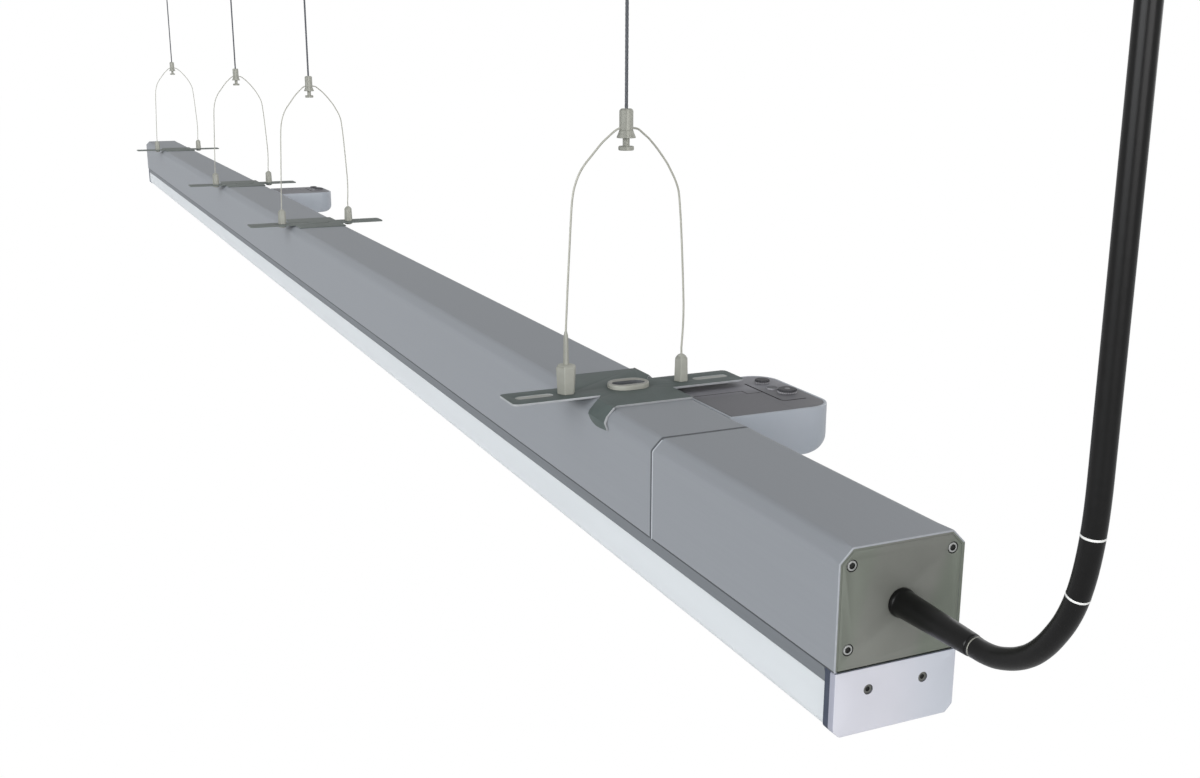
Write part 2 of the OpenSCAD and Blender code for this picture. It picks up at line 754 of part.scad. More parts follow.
module end_cap_far() {
    color([0.82, 0.83, 0.87]) at_top() translate([far_x, 0, 0]) mirror([1, 0, 0]) end_cap();
}

// Gasket behind a lower cap, with a lip between the cap and the housing
module cap_gasket() {
    difference() {
        union() {
            rotate([quarter_turn, 0, quarter_turn]) translate([0, 0, -tray_inset]) linear_extrude(gasket_t)
                polygon(keel(half_w - cap_inset, -housing_h, cap_low, diffuser_chamfer));
            translate([-tray_inset, cap_inset - half_w, cap_top])
                cube([tray_inset, housing_w - 2 * cap_inset, lip_t]);
        }
        at_cap_screws() translate([0, 0, -tray_inset - over])
            cylinder(r = cap_shank_r + plate_gap, h = tray_inset, $fn = fn_small);
    }
}

module cap_gaskets() {
    color([0.27, 0.3, 0.36]) at_top() {
        translate([near_x, 0, 0]) cap_gasket();
        translate([far_x, 0, 0]) mirror([1, 0, 0]) cap_gasket();
    }
}

// Dark screw sunk in a lower cap
module cap_screw() {
    difference() {
        union() {
            translate([0, 0, -cap_screw_head_l])
                cylinder(r = cap_screw_r, h = cap_screw_head_l - plate_gap, $fn = fn_small);
            translate([0, 0, -tray_inset])
                cylinder(r = cap_shank_r, h = tray_inset - cap_screw_head_l + over, $fn = fn_small);
        }
        translate([0, 0, -screw_socket_depth])
            cylinder(r = cap_shank_r, h = screw_socket_depth + over, $fn = hex);
    }
}

module cap_screws() {
    color([0.25, 0.25, 0.25]) at_top() {
        translate([near_x, 0, 0]) at_cap_screws() cap_screw();
        translate([far_x, 0, 0]) mirror([1, 0, 0]) at_cap_screws() cap_screw();
    }
}

// Boards with their light sources, on the underside of the tray
module light_boards() {
    color([0.9, 0.9, 0.86]) at_top() for (i = [0 : board_count - 1])
        translate([far_x + tray_inset + board_gap + i * (board_l + board_gap), 0, board_z]) {
            translate([0, -board_w / 2, 0]) cube([board_l, board_w, board_t]);
            for (k = [0 : chips - 1])
                translate([(k + 0.5) * board_l / chips - chip_side / 2, -chip_side / 2, -chip_h])
                    cube([chip_side, chip_side, chip_h + over]);
        }
}

// Drivers on the tray's plate, each with a foot at both ends
module drivers() {
    color([0.8, 0.8, 0.8]) at_top() for (share = driver_place_shares)
        translate([joint_x - main_l * share - driver_l / 2, -driver_w / 2, -housing_h]) {
            cube([driver_l, driver_w, driver_h]);
            translate([-driver_foot_l, 0, 0]) cube([driver_l + 2 * driver_foot_l, driver_w, driver_foot_t]);
        }
}

// Terminal block with a row of clamp screw holes, on the tray's plate
module terminal_block() {
    color([0.9, 0.9, 0.88]) at_top() translate([near_x - block_from_end - block_l, 0, -housing_h])
        difference() {
            translate([0, -block_w / 2, 0]) cube([block_l, block_w, block_h]);
            for (x = [block_l / 4, block_l * 3 / 4]) for (k = [1 : clamp_count])
                translate([x, k * clamp_pitch - block_w / 2, block_h - clamp_depth])
                    cylinder(r = clamp_r, h = clamp_depth + over, $fn = fn_small);
        }
}

// Flange, tapered sleeve and threaded neck of the cable's strain relief
module strain_relief() {
    color([0.1, 0.1, 0.1]) at_top() translate([near_x, 0, -entry_depth]) rotate([0, quarter_turn, 0]) {
        cylinder(r = relief_flange_r, h = relief_flange_t, $fn = fn_round);
        cylinder(r1 = relief_r1, r2 = relief_r2, h = relief_l, $fn = fn_round);
        translate([0, 0, -plate_t - neck_l]) cylinder(r = neck_r, h = plate_t + neck_l + over, $fn = fn_round);
    }
}

// Nut that pulls the strain relief tight against the end plate
module relief_nut() {
    color([0.2, 0.2, 0.2]) at_top() translate([near_x - plate_t - neck_nut_t, 0, -entry_depth])
        rotate([0, quarter_turn, 0]) difference() {
            cylinder(d = neck_nut_w, h = neck_nut_t, $fn = hex);
            translate([0, 0, -over]) cylinder(r = neck_r + plate_gap, h = neck_nut_t + 2 * over, $fn = fn_round);
        }
}

module inner_lead() {
    path = [for (p = smooth(lead_route, 2)) [near_x - p[0], 0, p[1] - drop]];
    color([0.15, 0.15, 0.15]) tube(path, lead_d / 2, cable_sides, [0, 1, 0]);
}

module power_cable() {
    path = [for (p = cable_route) [near_x + p[0], 0, p[1] - drop]];
    color([0.1, 0.1, 0.1]) tube(path, cable_d / 2, cable_sides, [0, 1, 0]);
}

// Bracket: wing bar with slots, saddle on the top face, and a hook ear on each side
module bracket(hooked) {
    saddle_half = half_w - housing_chamfer + ear_gap;
    difference() {
        union() {
            linear_extrude(sheet_t) wing_bar();
            translate([-saddle_back, -saddle_half, 0])
                cube([saddle_back + saddle_front, 2 * saddle_half, sheet_t]);
            if (hooked) for (turn = [0, 2 * quarter_turn]) rotate([0, 0, turn]) hook_ear();
        }
        translate([0, 0, -over]) linear_extrude(sheet_t + 2 * over) {
            if (hooked) for (turn = [0, 2 * quarter_turn]) rotate(turn) ear_notch();
            translate([0, eyelet_out]) obround(eyelet_straight, eyelet_barrel_w + 2 * plate_gap);
            for (s = [-1, 1]) {
                if (hooked) translate([0, s * (fitting_y + slot_start + slot_end) / 2])
                    obround(max(slot_end - fitting_y - slot_start - slot_w, over), slot_w);
                translate([0, s * fitting_y]) circle(r = shank_r + control_clear, $fn = fn_small);
            }
        }
    }
}

// Wing bar with rounded corners
module wing_bar() {
    straight_l = wing_l / 2 - wing_corner_r;
    straight_w = wing_w / 2 - wing_corner_r;
    square([wing_w, 2 * straight_l], center = true);
    square([2 * straight_w, wing_l], center = true);
    for (s = [-1, 1]) for (t = [-1, 1]) translate([s * straight_w, t * straight_l])
        circle(r = wing_corner_r, $fn = fn_round);
}

// Slanting notch between the wing bar and the root of an ear
module ear_notch() {
    wing_edge = wing_w / 2;
    root = max(wing_edge + over, saddle_front - ear_l * (1 - ear_shares[0][0]));
    edge = half_w - housing_chamfer;
    polygon([[wing_edge, (root - wing_edge) * 0.6 - edge], [wing_edge, -edge - housing_chamfer],
        [root, -edge - housing_chamfer], [root, -edge]]);
}

// Hook ear: sheet bent down over the chamfer and the side, cut to a tongue that leans forward
module hook_ear() {
    flat = half_w - housing_chamfer;
    bend = sheet_t * (sqrt(2) - 1);
    side = half_w + ear_gap;
    sheet = [[-flat, 0], [-flat, sheet_t], [-flat - ear_gap - bend, sheet_t],
        [-side - sheet_t, bend - housing_chamfer], [-side - sheet_t, -ear_depth], [-side, -ear_depth],
        [-side, -housing_chamfer], [-flat - ear_gap, 0]];
    back = [for (p = ear_shares) [ear_l * p[0], -ear_depth * p[1]]];
    front = [for (p = ear_front_shares) [ear_l + ear_lean * p[0], -ear_depth * p[1]]];
    step = ear_lean * ear_step_share;
    linear_extrude(sheet_t) polygon([[saddle_front - over, step - flat], [saddle_front + step, -flat - over],
        [saddle_front - over, -flat - over]]);
    intersection() {
        translate([saddle_front - ear_l, 0, 0]) rotate([quarter_turn, 0, quarter_turn])
            linear_extrude(ear_l + ear_lean) polygon(sheet);
        translate([saddle_front - ear_l, 0, 0]) rotate([quarter_turn, 0, 0])
            linear_extrude(half_w + ear_gap + sheet_t + over) polygon(concat(back, front));
    }
}

module bracket_at(i) {
    color([0.37, 0.41, 0.4]) at_hangers(i, i) bracket(i == 0);
}

// Oval eyelet that holds a bracket on the housing's top wall
module eyelet(height, hollow) {
    low = -housing_wall - eyelet_low;
    difference() {
        union() {
            translate([0, 0, sheet_t]) linear_extrude(height) obround(eyelet_l - eyelet_w, eyelet_w);
            translate([0, 0, low]) linear_extrude(sheet_t - low + over) obround(eyelet_straight, eyelet_barrel_w);
            translate([0, 0, low]) linear_extrude(eyelet_low) obround(eyelet_l - eyelet_w, eyelet_w);
        }
        if (hollow) translate([0, 0, low - over]) linear_extrude(sheet_t + height - low + 2 * over)
            obround(eyelet_straight, eyelet_hole_w);
    }
}

// The near eyelet is open, those of the plain brackets are closed and low
module bracket_eyelets() {
    color([0.62, 0.63, 0.6]) {
        at_hangers(0, 0) translate([0, eyelet_out, 0]) eyelet(eyelet_h, true);
        at_hangers(1, 3) translate([0, eyelet_out, 0]) eyelet(plug_h, false);
    }
}

// Threaded shank of a wire fitting, through its slot and its nut
module shank() {
    translate([0, 0, -wing_nut_t]) cylinder(r = shank_r, h = wing_nut_t + sheet_t + over, $fn = fn_small);
}

// Hexagonal barrel of a fitting with a bevelled top
module fitting_barrel(foot_r, top_r, tip_r, height, bevel_h) {
    translate([0, 0, sheet_t]) hex_taper(foot_r, top_r, height);
    translate([0, 0, sheet_t + height - over]) hex_taper(top_r - plate_gap, tip_r, bevel_h + over);
}

// Fitting with a hexagonal barrel that widens upwards, and a long sleeve for the wire
module sleeved_fitting() {
    difference() {
        union() {
            fitting_barrel(front_foot_r, front_top_r, front_tip_r, front_h, front_bevel_h);
            translate([0, 0, sheet_t + front_h]) cylinder(r1 = sleeve_r, r2 = sleeve_top_r,
                h = front_bevel_h + sleeve_h, $fn = fn_small);
            shank();
        }
        translate([0, 0, front_tip - wire_socket]) cylinder(r = wire_bore_r, h = wire_socket + over, $fn = fn_small);
    }
}

// Slimmer fitting whose hexagonal barrel narrows up to a pointed top
module pointed_fitting() {
    difference() {
        union() {
            fitting_barrel(rear_foot_r, rear_top_r, rear_tip_r, rear_h, rear_cone_h);
            shank();
        }
        translate([0, 0, rear_tip - wire_socket]) cylinder(r = wire_bore_r, h = wire_socket + over, $fn = fn_small);
    }
}

// The first hanger has the sleeved fitting in front, the others a pointed one
module front_fittings() {
    color([0.7, 0.71, 0.67]) {
        at_hangers(0, 0) translate([0, -fitting_y, 0]) sleeved_fitting();
        at_hangers(1, 3) translate([0, -fitting_y, 0]) pointed_fitting();
    }
}

module rear_fittings() {
    color([0.7, 0.71, 0.67]) at_hangers() translate([0, fitting_y, 0]) pointed_fitting();
}

module fitting_nuts() {
    color([0.6, 0.6, 0.58]) at_hangers() for (s = [-1, 1]) translate([0, s * fitting_y, -wing_nut_t])
        difference() {
            cylinder(d = wing_nut_w, h = wing_nut_t, $fn = hex);
            translate([0, 0, -over]) cylinder(r = shank_r + control_clear, h = wing_nut_t + 2 * over, $fn = fn_small);
        }
}

// One leg of a yoke, from its socket in the clamp to its socket in the fitting
module leg(out_shares, up_shares, tip, side) {
    start = barrel_r - barrel_socket;
    low = tip - wire_socket + wire_clear;
    pts = [for (k = [0 : len(out_shares) - 1])
        [0, side * between(start, fitting_y, out_shares[k]), between(low, wire_z, up_shares[k])]];
    tube(smooth(pts, 2), wire_r, wire_sides, [1, 0, 0]);
}

module wire_yoke(i) {
    color([0.76, 0.76, 0.72]) at_hangers(i, i) {
        leg(front_out_shares, front_up_shares, i == 0 ? front_tip : rear_tip, -1);
        leg(rear_out_shares, rear_up_shares, rear_tip, 1);
    }
}

// Clamp barrel: rope bore above, guide for the plunger below, a side socket for each wire
module clamp_barrels() {
    color([0.68, 0.69, 0.65]) at_hangers() difference() {
        union() {
            translate([0, 0, barrel_foot])
                cylinder(r = barrel_r, h = barrel_h - barrel_chamfer, $fn = fn_round);
            translate([0, 0, barrel_top - barrel_chamfer])
                cylinder(r1 = barrel_r, r2 = barrel_r - barrel_chamfer, h = barrel_chamfer, $fn = fn_round);
            translate([0, 0, collar_foot]) cylinder(r = collar_neck_r, h = collar_h + over, $fn = fn_round);
        }
        translate([0, 0, collar_foot - over])
            cylinder(r = stem_r + stem_clear, h = cavity_top - collar_foot + over, $fn = fn_round);
        translate([0, 0, cavity_top - over]) cylinder(r = rope_bore_r, h = barrel_h, $fn = fn_small);
        for (s = [-1, 1]) translate([0, s * (barrel_r - barrel_socket), wire_z]) rotate([-s * quarter_turn, 0, 0])
            cylinder(r = wire_bore_r, h = barrel_r, $fn = fn_small);
    }
}

// Flared collar below each barrel
module clamp_collars() {
    color([0.64, 0.65, 0.61]) at_hangers() translate([0, 0, collar_foot]) difference() {
        cylinder(r1 = collar_r, r2 = barrel_r, h = collar_h, $fn = fn_round);
        translate([0, 0, -over]) cylinder(r = collar_neck_r + stem_clear, h = collar_h + 2 * over, $fn = fn_round);
    }
}

// Release plunger: disc and hollow stem round the rope
module plunger(i) {
    color([0.7, 0.71, 0.67]) at_hangers(i, i) difference() {
        union() {
            translate([0, 0, disc_top - disc_t]) cylinder(r = disc_r, h = disc_t, $fn = fn_round);
            translate([0, 0, disc_top - over]) cylinder(r = stem_r, h = stem_top - disc_top + over, $fn = fn_round);
        }
        translate([0, 0, disc_top - disc_t - over])
            cylinder(r = rope_bore_r, h = stem_top - disc_top + disc_t + 2 * over, $fn = fn_small);
    }
}

// Straight rope from inside the plunger to the barrel in its ceiling cup
module rope(i) {
    rings = ceil((rope_top - rope_foot) / (3 * rope_d));
    path = [for (k = [0 : rings]) [0, 0, between(rope_foot, rope_top, k / rings)]];
    color([0.36, 0.37, 0.39]) at_hangers(i, i) tube(path, rope_r, rope_sides, [1, 0, 0]);
}

// Bases of the ceiling cups, each with a threaded hole towards the ceiling
module ceiling_cups() {
    color([0.75, 0.75, 0.73]) at_hangers() translate([0, 0, drop]) difference() {
        translate([0, 0, -cup_base_h]) cylinder(r = cup_r, h = cup_base_h, $fn = fn_round);
        translate([0, 0, -cup_thread_l]) cylinder(r = cup_thread_r, h = cup_thread_l + over, $fn = fn_small);
    }
}

// Tapered caps under the bases, each with room for the barrel on its rope
module cup_caps() {
    color([0.75, 0.75, 0.73]) at_hangers() translate([0, 0, drop - cup_base_h]) difference() {
        translate([0, 0, -cup_cap_h]) cylinder(r1 = cup_foot_r, r2 = cup_r, h = cup_cap_h, $fn = fn_round);
        translate([0, 0, -cup_room_h]) cylinder(r = cup_room_r, h = cup_room_h + over, $fn = fn_round);
        translate([0, 0, -cup_cap_h - over]) cylinder(r = rope_bore_r, h = cup_cap_h, $fn = fn_small);
    }
}

// Pressed barrels on the ropes' upper ends
module rope_ends() {
    color([0.6, 0.6, 0.58]) at_hangers() translate([0, 0, rope_top])
        cylinder(r = rope_end_r, h = cup_room_h - plate_gap, $fn = fn_small);
}

module rose_base() {
    color([0.85, 0.85, 0.85]) translate([cable_x, 0, -rose_base_t]) difference() {
        cylinder(r = rose_r - rose_wall - plate_gap, h = rose_base_t, $fn = fn_round);
        translate([0, 0, -over]) cylinder(r = rose_hole_r, h = rose_base_t + 2 * over, $fn = fn_round);
        for (s = [-1, 1]) translate([s * rose_screw_pitch / 2, 0, -over])
            cylinder(r = rose_screw_r, h = rose_base_t + 2 * over, $fn = fn_small);
    }
}

module rose_cover() {
    color([0.88, 0.88, 0.88]) translate([cable_x, 0, 0]) difference() {
        translate([0, 0, -rose_h]) cylinder(r = rose_r, h = rose_h, $fn = fn_round);
        translate([0, 0, rose_wall - rose_h]) cylinder(r = rose_r - rose_wall, h = rose_h, $fn = fn_round);
        translate([0, 0, -rose_h - over]) cylinder(r = grip_neck_r + plate_gap, h = rose_h, $fn = fn_round);
    }
}

// Cord grip under the rose, which carries the cable
module rose_grip() {
    color([0.12, 0.12, 0.12]) translate([cable_x, 0, -rose_h]) {
        translate([0, 0, -grip_h]) cylinder(r = grip_r, h = grip_h, $fn = fn_round);
        translate([0, 0, -over]) cylinder(r = grip_neck_r, h = rose_wall + 4 * over, $fn = fn_round);
    }
}

// Plan of a box, shrunk by an inset; zero at its near face and the housing's side
module box_plan(inset) {
    r = box_corner_r - inset;
    reach = box_reach - box_corner_r;
    translate([inset - box_l, inset]) square([box_l - 2 * inset, reach - inset]);
    translate([box_corner_r - box_l, 0]) square([box_l - 2 * box_corner_r, box_reach - inset]);
    for (x = [-box_corner_r, box_corner_r - box_l]) translate([x, reach]) circle(r = r, $fn = fn_round);
}

// Side view of a box, shrunk by an inset, with its round lower edge and its top raised by a lift
module box_side(inset, lift) {
    r = box_edge_r - inset;
    translate([inset, box_floor + box_edge_r]) square([box_reach - 2 * inset, box_h - box_edge_r + lift]);
    translate([inset, box_floor + inset]) square([box_reach - box_edge_r - inset, box_h - inset]);
    translate([box_reach - box_edge_r, box_floor + box_edge_r]) circle(r = r, $fn = fn_round);
}

// Solid of a box from one level up to its top, which a lift raises
module box_solid(inset, low, lift) {
    intersection() {
        translate([0, 0, low]) linear_extrude(box_top + lift - low) box_plan(inset);
        translate([-box_l, 0, 0]) rotate([quarter_turn, 0, quarter_turn]) linear_extrude(box_l) box_side(inset, lift);
    }
}

// Box shell, open at the top, where its cover lies inside the rim, with posts for the board
module box_shells() {
    color([0.63, 0.65, 0.7]) at_boxes() difference() {
        union() {
            difference() {
                box_solid(0, box_floor, 0);
                box_solid(box_wall, box_floor, over);
            }
            for (x = [pcb_margin, pcb_l - pcb_margin]) for (y = [pcb_margin, pcb_w - pcb_margin])
                translate([-pcb_from_face() - x, pcb_from_side() + y, box_floor + box_wall / 2])
                    cylinder(r = post_r, h = pcb_z - box_floor - box_wall / 2, $fn = fn_small);
        }
        box_holes();
    }
}

// Place of the board inside a box
function pcb_from_face() = (box_l - pcb_l) / 2;
function pcb_from_side() = box_reach - box_wall - pcb_clear - pcb_w;

// Spindle or button hole through the cover
module control_hole(at, r) {
    translate([-at[0], at[1], box_rim - over]) cylinder(r = r + control_clear, h = cover_t + 2 * over, $fn = fn_round);
}

// Groove that frames the controls, as two legs with a round corner
module groove() {
    corner = groove_w * 3;
    translate([-groove_from_face - groove_l, groove_out]) square([groove_l - corner, groove_w]);
    translate([-groove_from_face - groove_w, groove_out + corner]) square([groove_w, groove_leg_l - corner]);
    translate([-groove_from_face - corner, groove_out + corner]) intersection() {
        difference() {
            circle(r = corner, $fn = fn_round);
            circle(r = corner - groove_w, $fn = fn_round);
        }
        translate([0, -corner]) square(corner);
    }
}

module box_covers() {
    color([0.42, 0.42, 0.44]) at_boxes() difference() {
        box_solid(box_wall + plate_gap, box_rim, 0);
        translate([-lid_back, lid_margin, box_top - lid_sink - lid_t]) cube([lid_l, lid_w, lid_sink + lid_t + over]);
        translate([0, 0, box_top - groove_depth]) linear_extrude(groove_depth + over) groove();
        control_hole(small_at, spindle_r);
        control_hole(large_at, spindle_r);
        control_hole(button_at, button_r);
    }
}

module box_lids() {
    color([0.4, 0.4, 0.42]) at_boxes() translate([lid_gap - lid_back, lid_margin + lid_gap, box_top - lid_sink - lid_t])
        cube([lid_l - 2 * lid_gap, lid_w - 2 * lid_gap, lid_t]);
}

// Board inside a box, with a turning control under each dial and a switch under the button
module box_boards() {
    color([0.15, 0.4, 0.25]) at_boxes() difference() {
        union() {
            translate([-pcb_from_face() - pcb_l, pcb_from_side(), pcb_z]) cube([pcb_l, pcb_w, board_t]);
            for (at = [small_at, large_at, button_at])
                translate([-at[0] - encoder_side / 2, at[1] - encoder_side / 2, pcb_z + board_t - over])
                    cube([encoder_side, encoder_side, encoder_h + over]);
        }
        for (at = [small_at, large_at]) translate([-at[0], at[1], encoder_top - encoder_depth - over])
            cylinder(r = spindle_r + control_clear, h = encoder_depth + 2 * over, $fn = fn_small);
    }
}

// Screws that hold the boxes on the housing's side, heads inside the boxes
module box_screws() {
    color([0.7, 0.7, 0.7]) at_boxes() for (s = [-1, 1])
        translate([s * box_screw_pitch / 2 - box_l / 2, box_wall, box_middle]) rotate([quarter_turn, 0, 0]) {
            translate([0, 0, -box_screw_head_t]) cylinder(r = box_screw_head_r, h = box_screw_head_t, $fn = fn_small);
            translate([0, 0, -over]) cylinder(r = box_screw_r, h = box_screw_l + over, $fn = fn_small);
        }
}

// Dial with scallops round its edge and a spindle down to the board
module dial(i, at, r) {
    color([0.25, 0.25, 0.27]) at_boxes(i, i) translate([-at[0], at[1], box_top]) {
        difference() {
            translate([0, 0, dial_gap]) cylinder(r = r, h = dial_h, $fn = fn_round);
            for (k = [0 : scallop_count - 1]) rotate([0, 0, 360 * k / scallop_count]) translate([r, 0, 0])
                cylinder(r = scallop_r, h = dial_gap + dial_h + over, $fn = fn_small);
        }
        translate([0, 0, control_clear - spindle_l])
            cylinder(r = spindle_r, h = spindle_l - control_clear + dial_gap + over, $fn = fn_small);
    }
}

// Button with the flange that keeps it under the cover, and a stem towards its switch
module button(i) {
    stem_foot = encoder_top + button_travel + dial_gap;
    flange_top = box_rim - dial_gap;
    color([0.28, 0.28, 0.3]) at_boxes(i, i) translate([-button_at[0], button_at[1], 0]) {
        translate([0, 0, flange_top - over]) cylinder(r = button_r, h = box_top + button_h - flange_top + over, $fn = fn_round);
        translate([0, 0, flange_top - button_flange_t])
            cylinder(r = button_r + button_flange, h = button_flange_t, $fn = fn_round);
        translate([0, 0, stem_foot]) cylinder(r = spindle_r, h = flange_top - stem_foot - over, $fn = fn_small);
    }
}

ceiling_cups();
cup_caps();
rope_ends();
rope(0);  // rope_1
rope(1);  // rope_2
rope(2);  // rope_3
rope(3);  // rope_4
rose_base();
rose_cover();
rose_grip();
power_cable();
housing_near();
housing_main();
joint_seal();
joint_splices();
light_tray();
diffuser();
end_plate_near();
end_plate_far();
end_plate_screws();
end_cap_near();
end_cap_far();
cap_gaskets();
cap_screws();
light_boards();
drivers();
terminal_block();
strain_relief();
relief_nut();
inner_lead();
bracket_at(0);  // bracket_1
bracket_at(1);  // bracket_2
bracket_at(2);  // bracket_3
bracket_at(3);  // bracket_4
bracket_eyelets();
front_fittings();
rear_fittings();
fitting_nuts();
wire_yoke(0);  // wire_yoke_1
wire_yoke(1);  // wire_yoke_2
wire_yoke(2);  // wire_yoke_3
wire_yoke(3);  // wire_yoke_4
clamp_barrels();
clamp_collars();
plunger(0);  // plunger_1
plunger(1);  // plunger_2
plunger(2);  // plunger_3
plunger(3);  // plunger_4
box_shells();
box_covers();
box_lids();
box_boards();
box_screws();
dial(0, small_at, small_r);  // small_dial_1
dial(1, small_at, small_r);  // small_dial_2
dial(0, large_at, large_r);  // large_dial_1
dial(1, large_at, large_r);  // large_dial_2
button(0);  // button_1
button(1);  // button_2
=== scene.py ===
import math

import bmesh
import bpy
from mathutils import Matrix, Vector


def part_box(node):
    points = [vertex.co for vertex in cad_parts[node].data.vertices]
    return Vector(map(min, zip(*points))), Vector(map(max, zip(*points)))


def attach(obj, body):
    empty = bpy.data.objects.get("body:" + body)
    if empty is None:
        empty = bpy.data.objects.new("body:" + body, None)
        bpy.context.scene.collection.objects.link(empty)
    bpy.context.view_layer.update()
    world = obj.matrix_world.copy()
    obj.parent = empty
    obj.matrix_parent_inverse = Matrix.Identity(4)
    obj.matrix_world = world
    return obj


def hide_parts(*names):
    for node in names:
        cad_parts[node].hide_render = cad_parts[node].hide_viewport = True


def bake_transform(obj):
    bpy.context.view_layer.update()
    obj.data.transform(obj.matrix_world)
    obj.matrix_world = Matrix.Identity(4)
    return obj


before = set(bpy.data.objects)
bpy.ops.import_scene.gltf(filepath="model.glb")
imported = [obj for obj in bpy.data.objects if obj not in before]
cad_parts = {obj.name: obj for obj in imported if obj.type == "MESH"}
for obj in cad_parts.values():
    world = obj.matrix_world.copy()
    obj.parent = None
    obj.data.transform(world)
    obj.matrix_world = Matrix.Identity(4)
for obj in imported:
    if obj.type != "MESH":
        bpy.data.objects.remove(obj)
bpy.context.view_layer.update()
scene = bpy.context.scene
mm = 0.001
fullTurn = 2 * math.pi
print("shop light: frame loaded")

# places that the pieces hang on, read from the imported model
nearX, halfW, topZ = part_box("housing_near")[1]
halfW /= mm
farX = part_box("housing_main")[0].x
hangers = [sum(corner.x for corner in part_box("wire_yoke_%d" % i)) / 2 for i in (1, 2, 3, 4)]
ends = (("near", nearX, 1), ("far", farX, -1))


def spot(x, y, z):
    # x in metres along the light; y across it and z over its top face, both in mm
    return Vector((x, y * mm, topZ + z * mm))


def addObject(name, data):
    obj = bpy.data.objects.new(name, data)
    scene.collection.objects.link(obj)
    return obj


view = {
    "lens": 40.117, "sensor": 36.0, "clip": (0.02, 90),
    "place": (531.19, -413.67, 249.22),  # mm from the near end, the middle and the top face
    "yaw": 2.71792542, "pitch": 0.252905278, "roll": 0.00174182630,
}


def placeCamera():
    cam = bpy.data.cameras.new("view")
    cam.lens, cam.sensor_width, cam.sensor_fit = view["lens"], view["sensor"], "HORIZONTAL"
    cam.clip_start, cam.clip_end = view["clip"]
    yaw, pitch, roll = view["yaw"], view["pitch"], view["roll"]
    ahead = Vector((math.cos(yaw) * math.cos(pitch), math.sin(yaw) * math.cos(pitch), -math.sin(pitch)))
    right = Vector((math.sin(yaw), -math.cos(yaw), 0.0))
    up = right.cross(ahead)
    aside = right * math.cos(roll) + up * math.sin(roll)
    upward = up * math.cos(roll) - right * math.sin(roll)
    scene.camera = addObject("view", cam)
    along, out, high = view["place"]
    scene.camera.matrix_world = (Matrix.Translation(spot(nearX + along * mm, out, high))
                                 @ Matrix((aside, upward, -ahead)).transposed().to_4x4())


placeCamera()
scene.view_settings.view_transform = "Standard"


def clearedTree(owner):
    owner.use_nodes = True
    owner.node_tree.nodes.clear()
    return owner.node_tree


def node(tree, kind, inputs=None, **settings):
    # each input is given a value or a link
    new = tree.nodes.new(kind)
    for key, value in settings.items():
        setattr(new, key, value)
    for key, value in (inputs or {}).items():
        if isinstance(value, bpy.types.NodeSocket):
            tree.links.new(value, new.inputs[key])
        else:
            new.inputs[key].default_value = value
    return new


def made(tree, kind, inputs=None, **settings):
    return node(tree, kind, inputs, **settings).outputs[0]


def worked(tree, operation, *values):
    return made(tree, "ShaderNodeMath", dict(enumerate(values)), operation=operation)


def raysOf(tree):
    # the light path's outputs, and 1 for the rays that the camera sees by, also through glass
    path = node(tree, "ShaderNodeLightPath").outputs
    return path, worked(tree, "MAXIMUM", path["Is Camera Ray"], path["Is Transmission Ray"])


studio = {
    "ambient": 0.42, "ambientColour": (0.985, 0.99, 1.0),
    "shine": 0.34,  # how much of the white surroundings glossy surfaces show
    "floorDrop": 1.35, "floorReach": 40, "floorTone": 0.86, "floorGlow": 0.93, "glowStrength": 1.03,
    # lamp: direction towards it (along, across, up), strength, softness in degrees, colour
    "lamps": {
        "side": ((0.2, -0.96, 0.13), 2.4, 50, (0.965, 0.98, 1.0)),
        "end": ((0.97, -0.15, 0.15), 1.7, 45, (1.0, 0.985, 0.99)),
        "back": ((-0.3, 0.9, 0.33), 0.65, 60, (1.0, 1.0, 1.0)),
    },
}


def makeWorld():
    world = bpy.data.worlds.new("studio")
    scene.world = world
    tree = clearedTree(world)
    soft = made(tree, "ShaderNodeBackground", {"Color": studio["ambientColour"] + (1,), "Strength": studio["ambient"]})
    white = made(tree, "ShaderNodeBackground", {"Color": (1, 1, 1, 1), "Strength": 1.0})
    path, direct = raysOf(tree)
    share = worked(tree, "MAXIMUM", direct, worked(tree, "MULTIPLY", path["Is Glossy Ray"], studio["shine"]))
    mix = made(tree, "ShaderNodeMixShader", {"Fac": share, 1: soft, 2: white})
    node(tree, "ShaderNodeOutputWorld", {"Surface": mix})


def makeLamps():
    for name, (towards, strength, softness, colour) in studio["lamps"].items():
        lamp = bpy.data.lights.new(name, "SUN")
        lamp.energy, lamp.angle, lamp.color = strength, math.radians(softness), colour
        addObject(name, lamp).rotation_euler = Vector(towards).to_track_quat("Z", "Y").to_euler()


def makeFloor():
    mesh = bpy.data.meshes.new("studio_floor")
    low, far = topZ - studio["floorDrop"], studio["floorReach"]
    mesh.from_pydata([(-far, -far, low), (far, -far, low), (far, far, low), (-far, far, low)], [], [(0, 1, 2, 3)])
    floor = addObject("studio_floor", mesh)
    mat = bpy.data.materials.new("pale_floor")
    tree = clearedTree(mat)
    plain = made(tree, "ShaderNodeBsdfDiffuse", {"Color": (studio["floorTone"],) * 3 + (1,)})
    glow = made(tree, "ShaderNodeEmission", {"Strength": studio["glowStrength"]})
    share = worked(tree, "MULTIPLY", raysOf(tree)[1], studio["floorGlow"])
    mix = made(tree, "ShaderNodeMixShader", {"Fac": share, 1: plain, 2: glow})
    node(tree, "ShaderNodeOutputMaterial", {"Surface": mix})
    mesh.materials.append(mat)


makeWorld()
makeLamps()
makeFloor()
print("shop light: camera and studio ready")


def linear(hexColour):
    out = []
    for k in (0, 2, 4):
        c = int(hexColour[k:k + 2], 16) / 255
        out.append(c / 12.92 if c <= 0.04045 else ((c + 0.055) / 1.055) ** 2.4)
    return (*out, 1.0)


